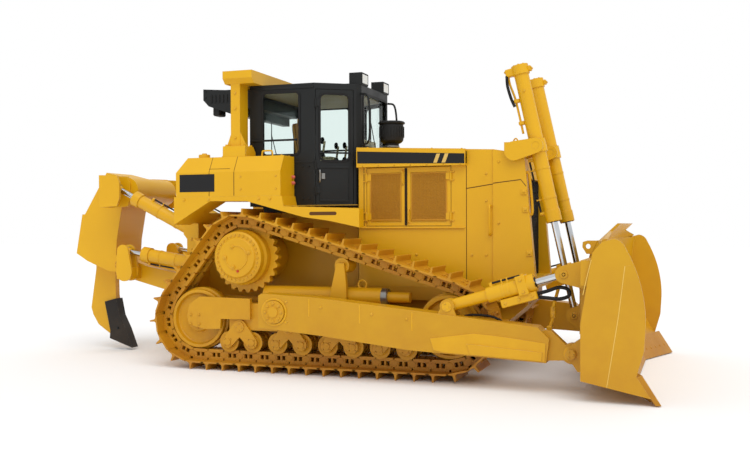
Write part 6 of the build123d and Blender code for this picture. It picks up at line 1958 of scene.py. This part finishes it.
@dataclass
class Blade:
    """Blade: pale lines of painted highlight along its ends' welded seams, edge bolts and lug caps."""

    end_face: float = 1.970
    wing_y: float = 1.130
    wing_sweep: float = 0.300
    edge_top: tuple[float, float] = (3.400, 0.275)
    edge_slope: float = 0.66
    edge_thickness: float = 0.052
    bolt_rows: tuple[float, float] = (0.225, 0.120)
    centre_bolts: int = 14
    wing_bolts: int = 6
    welds: tuple[Spots, ...] = (
        ((3.281, 1.386), (3.240, 1.220), (3.201, 1.046)),
        ((3.655, 1.336), (3.595, 1.329), (3.565, 1.090), (3.535, 0.850), (3.490, 0.560), (3.425, 0.161)),
    )
    weld_half: float = 0.004
    lugs: tuple[tuple[float, ...], ...] = ((2.951, 0.713, 0.440, 0.650), (2.967, 1.221, 1.380, 1.590))
    arm_pin: tuple[float, float, float] = (3.037, 1.608, 0.410)

    def edge_bolt(self, piece: Fitting, y: float, shift: float) -> None:
        """Add one column of countersunk edge bolts, on a wing's edge shifted forward.

        Args:
            piece: the piece that takes the shape.
            y: Y of the column.
            shift: how far forward the edge is.
        """
        out = Vector((1, 0, self.edge_slope)).normalized()
        for z in self.bolt_rows:
            front = self.edge_top[0] + shift + (self.edge_top[1] - z) * self.edge_slope + self.edge_thickness
            piece.disc((front - 0.006, y, z), out, 0.021, 0.010, 16, 0.3)

    def build(self) -> None:
        """Dress the cutting edge, the lugs and the ends."""
        with Fitting("edge_bolts", FINISH.edge, "blade") as piece:
            for step in range(self.centre_bolts):
                self.edge_bolt(piece, (self.wing_y - 0.07) * (2 * step / (self.centre_bolts - 1) - 1), 0.0)
            for _ in piece.both_sides():
                for step in range(self.wing_bolts):
                    aside = (step + 0.5) / self.wing_bolts * (self.end_face - 0.05 - self.wing_y)
                    shift = self.wing_sweep * aside / (self.end_face - 0.032 - self.wing_y)
                    self.edge_bolt(piece, self.wing_y + aside, shift)
        with Fitting("blade_lug_caps", FINISH.blade, "blade") as piece:
            for side in piece.both_sides():
                for x, z, low, high in self.lugs:
                    for y, way in ((low, -1), (high, 1)):
                        piece.disc((x, y, z), OUT * way, 0.040, 0.014, 28)
                        piece.bolt((x, y + way * 0.014, z), OUT * way, 0.012)
                piece.disc(self.arm_pin, OUT, 0.050, 0.010, 32)
                piece.bolt_ring(Vector(self.arm_pin) + OUT * 0.010, OUT, 0.030, 3, 0.009,
                                THREE_BOLT_START[side])
        for side in Side:
            # Flat pale strips along the welded seams: painted highlight
            with Fitting("blade_end_welds_{}", FINISH.weld, "blade", side) as piece:
                for line in self.welds:
                    piece.band(line, (-self.weld_half, 0), self.end_face - 0.004, self.end_face + 0.0008)


@dataclass
class Ripper:
    """Ripper: pin bolts, shank bosses, bracket bolts and hoses."""

    bracket_bolts: Spots = ((-1.850, 0.880), (-1.850, 1.060), (-1.850, 1.420), (-1.850, 1.560),
                            (-1.850, 1.780))
    beam_pin: tuple[float, float, float] = (-3.110, 0.472, 1.205)
    holes: Spots = ((-3.520, 1.760), (-3.520, 1.600))
    hoses: tuple[Route, ...] = (
        ((-1.770, 0.460, 1.700), (-1.860, 0.460, 1.760), (-1.960, 0.460, 1.700), (-1.960, 0.460, 1.560),
         (-1.870, 0.460, 1.460), (-1.775, 0.460, 1.440)),
        ((-1.770, 0.420, 1.620), (-1.850, 0.420, 1.640), (-1.930, 0.430, 1.560), (-1.900, 0.430, 1.400),
         (-1.775, 0.430, 1.330)),
    )

    def build(self) -> None:
        """Dress the bracket, the beam's pin and the shank."""
        with Fitting("ripper_bracket_bolts", FINISH.yellow) as bracket:
            for _ in bracket.both_sides():
                bracket.side_bolts(self.bracket_bolts, 0.723, 0.016)
        with Fitting("ripper_hoses", FINISH.rubber) as hoses:
            for _ in hoses.both_sides():
                for route in self.hoses:
                    hoses.tube(route, 0.015)
        with Fitting("ripper_arm_caps", FINISH.yellow, "ripper_pin") as caps:
            for _ in caps.both_sides():
                caps.bolt_ring(self.beam_pin, OUT, 0.052, 6, 0.010)
        with Fitting("ripper_shank_bosses", FINISH.black, "ripper_beam") as shank:
            for _ in shank.both_sides():
                for x, z in self.holes:
                    shank.disc((x, 0.045, z), OUT, 0.040, 0.008, 28)
                shank.bolt((-3.420, 0.075, 0.300), OUT, 0.016)


# Carried-over solids, studio and camera

@dataclass(frozen=True)
class Wardrobe:
    """Finish of each solid that shows as it was packed; the rest are yellow."""

    nodes: tuple[tuple[Finish, str], ...] = (
        (FINISH.black, "cab_shell ac_unit front_grille cab_door_right cab_door_left roof_lamps"),
        (FINISH.under,
         "sprockets final_drives carrier_rollers bogie_plates track_frames arm_trunnions main_case"),
        (FINISH.blade, "blade blade_frame blade_lugs push_arm_right push_arm_left"),
        (FINISH.chrome, "lift_rods tilt_rods ripper_lift_rods ripper_tilt_rods"),
        (FINISH.glass, "cab_glass door_glass_right door_glass_left"),
        (FINISH.edge, "cutting_edge ripper_pin"),
        (FINISH.track, "track_right track_left"),
        (FINISH.tip, "ripper_tip"),
        (FINISH.engine, "engine_block"),
        (FINISH.trim, "console"),
    )

    def dress(self, nodes: dict[str, Object]) -> None:
        """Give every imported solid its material.

        Args:
            nodes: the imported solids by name.
        """
        finishes = {node: finish for finish, names in self.nodes for node in names.split()}
        for name, piece in nodes.items():
            finish = finishes.get(name, FINISH.yellow)
            piece.data.materials.clear()
            piece.data.materials.append(finish.material())
            LOG.info("solid %s: %s", name, finish.name)


@dataclass
class Studio:
    """Pale floor, plain soft light and the camera at the photograph's angle."""

    position: tuple[float, float, float] = (4.260, -11.014, 1.726)
    yaw: float = 0.338815
    pitch: float = -0.010482
    roll: float = -0.003303
    lens: float = 44.13
    sensor: float = 36.0
    view_end: float = 300.0
    floor_half: float = 60.0
    floor_z: float = -0.001
    sky: float = 0.80
    sun: float = 1.25
    sun_spread: float = 50.0
    sun_from: tuple[float, float, float] = (0.35, -0.55, 1.0)

    def placed(self, name: str, data: bpy.types.ID) -> Object:
        """Put an object with its data into the scene.

        Args:
            name: its name.
            data: its data.

        Returns:
            The new object.
        """
        thing = bpy.data.objects.new(name, data)
        bpy.context.scene.collection.objects.link(thing)
        return thing

    def world(self) -> None:
        """White background, plain soft light from all round."""
        world = bpy.data.worlds.new("studio_sky")
        bpy.context.scene.world = world
        world.use_nodes = True
        tree = world.node_tree
        tree.nodes.clear()
        path = wired(tree, "LightPath").outputs
        seen = wired(tree, "Math", {0: path["Is Camera Ray"], 1: path["Is Transmission Ray"]},
                     operation="MAXIMUM")
        strength = wired(tree, "MapRange", {"Value": seen.outputs[0], "To Min": self.sky, "To Max": 1.0})
        light = wired(tree, "Background", {"Color": (1, 1, 1, 1), "Strength": strength.outputs["Result"]})
        wired(tree, "OutputWorld", {"Surface": light.outputs["Background"]})

    def lamp(self) -> None:
        """One broad lamp overhead, from the camera's left."""
        data = bpy.data.lights.new("overhead", "SUN")
        data.energy = self.sun
        data.angle = math.radians(self.sun_spread)
        lamp = self.placed("overhead", data)
        lamp.rotation_euler = Vector(self.sun_from).to_track_quat("Z", "Y").to_euler()
        lamp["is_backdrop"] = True

    def floor(self) -> None:
        """White floor that keeps the machine's shadow."""
        corners = [(x * self.floor_half, y * self.floor_half, self.floor_z) for x,
                   y in ((-1, -1), (1, -1), (1, 1), (-1, 1))]
        mesh = bpy.data.meshes.new("studio_floor")
        mesh.from_pydata(corners, [], [(0, 1, 2, 3)])
        material = bpy.data.materials.new("studio_floor")
        material.use_nodes = True
        shader = material.node_tree.nodes["Principled BSDF"]
        for label, value in (("Base Color", (0.95, 0.95, 0.95, 1)), ("Roughness", 0.9),
                             ("Specular IOR Level", 0.1)):
            shader.inputs[label].default_value = value
        mesh.materials.append(material)
        self.placed("studio_floor", mesh)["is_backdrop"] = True

    def camera(self) -> None:
        """Camera at the photograph's place and angle."""
        level = Vector((math.cos(self.yaw), math.sin(self.yaw), 0))
        forward = UP.cross(level) * math.cos(self.pitch) + UP * math.sin(self.pitch)
        above = level.cross(forward)
        right = level * math.cos(self.roll) + above * math.sin(self.roll)
        up = above * math.cos(self.roll) - level * math.sin(self.roll)
        data = bpy.data.cameras.new("photo_camera")
        data.lens, data.sensor_width, data.clip_end = self.lens, self.sensor, self.view_end
        camera = self.placed("photo_camera", data)
        turn = Matrix((right, up, -forward)).transposed().to_4x4()
        camera.matrix_world = Matrix.Translation(Vector(self.position)) @ turn
        bpy.context.scene.camera = camera

    def build(self) -> None:
        """Build the studio."""
        self.world()
        self.lamp()
        self.floor()
        self.camera()
        bpy.context.scene.view_settings.view_transform = "Standard"


def main() -> None:
    """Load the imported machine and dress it."""
    logging.basicConfig(level=logging.INFO, format="%(message)s")
    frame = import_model()
    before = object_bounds()
    Wardrobe().dress(frame["nodes"])
    assemblies = (
        CrawlerTracks(), RollerFrames(), FinalDrives(), Hood(), NoseGuard(), Precleaner(), Cab(),
        OperatorStation(), ClimateUnit(), RolloverBar(), TanksAndFenders(),
        HydraulicPair("lift", LIFT_LINE, 0.083, 0.091, (0.742, 0.872), 0.14, -0.124),
        HydraulicPair("tilt", TILT_LINE, 0.082, 0.096, (0.820, 0.960), 0.50, 0.110),
        HydraulicPair("ripper_tilt", RIPPER_TILT_LINE, 0.085, 0.085, (0.700, 0.760), 0.14, -0.112),
        HydraulicPair("ripper_lift", RIPPER_LIFT_LINE, 0.085, 0.085, (0.640, 0.700), 0.14, 0.112),
        LiftHeads(), TiltHeads(), PushArms(), Blade(), Ripper(), Studio(),
    )
    for assembly in assemblies:
        LOG.info("building %s", type(assembly).__name__)
        assembly.build()
    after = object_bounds()
    boxes = {"before": before, "after": after}
    {name: [list(corner) for corner in box] for name, box in boxes.items()}


if __name__ == "__main__":
    main()
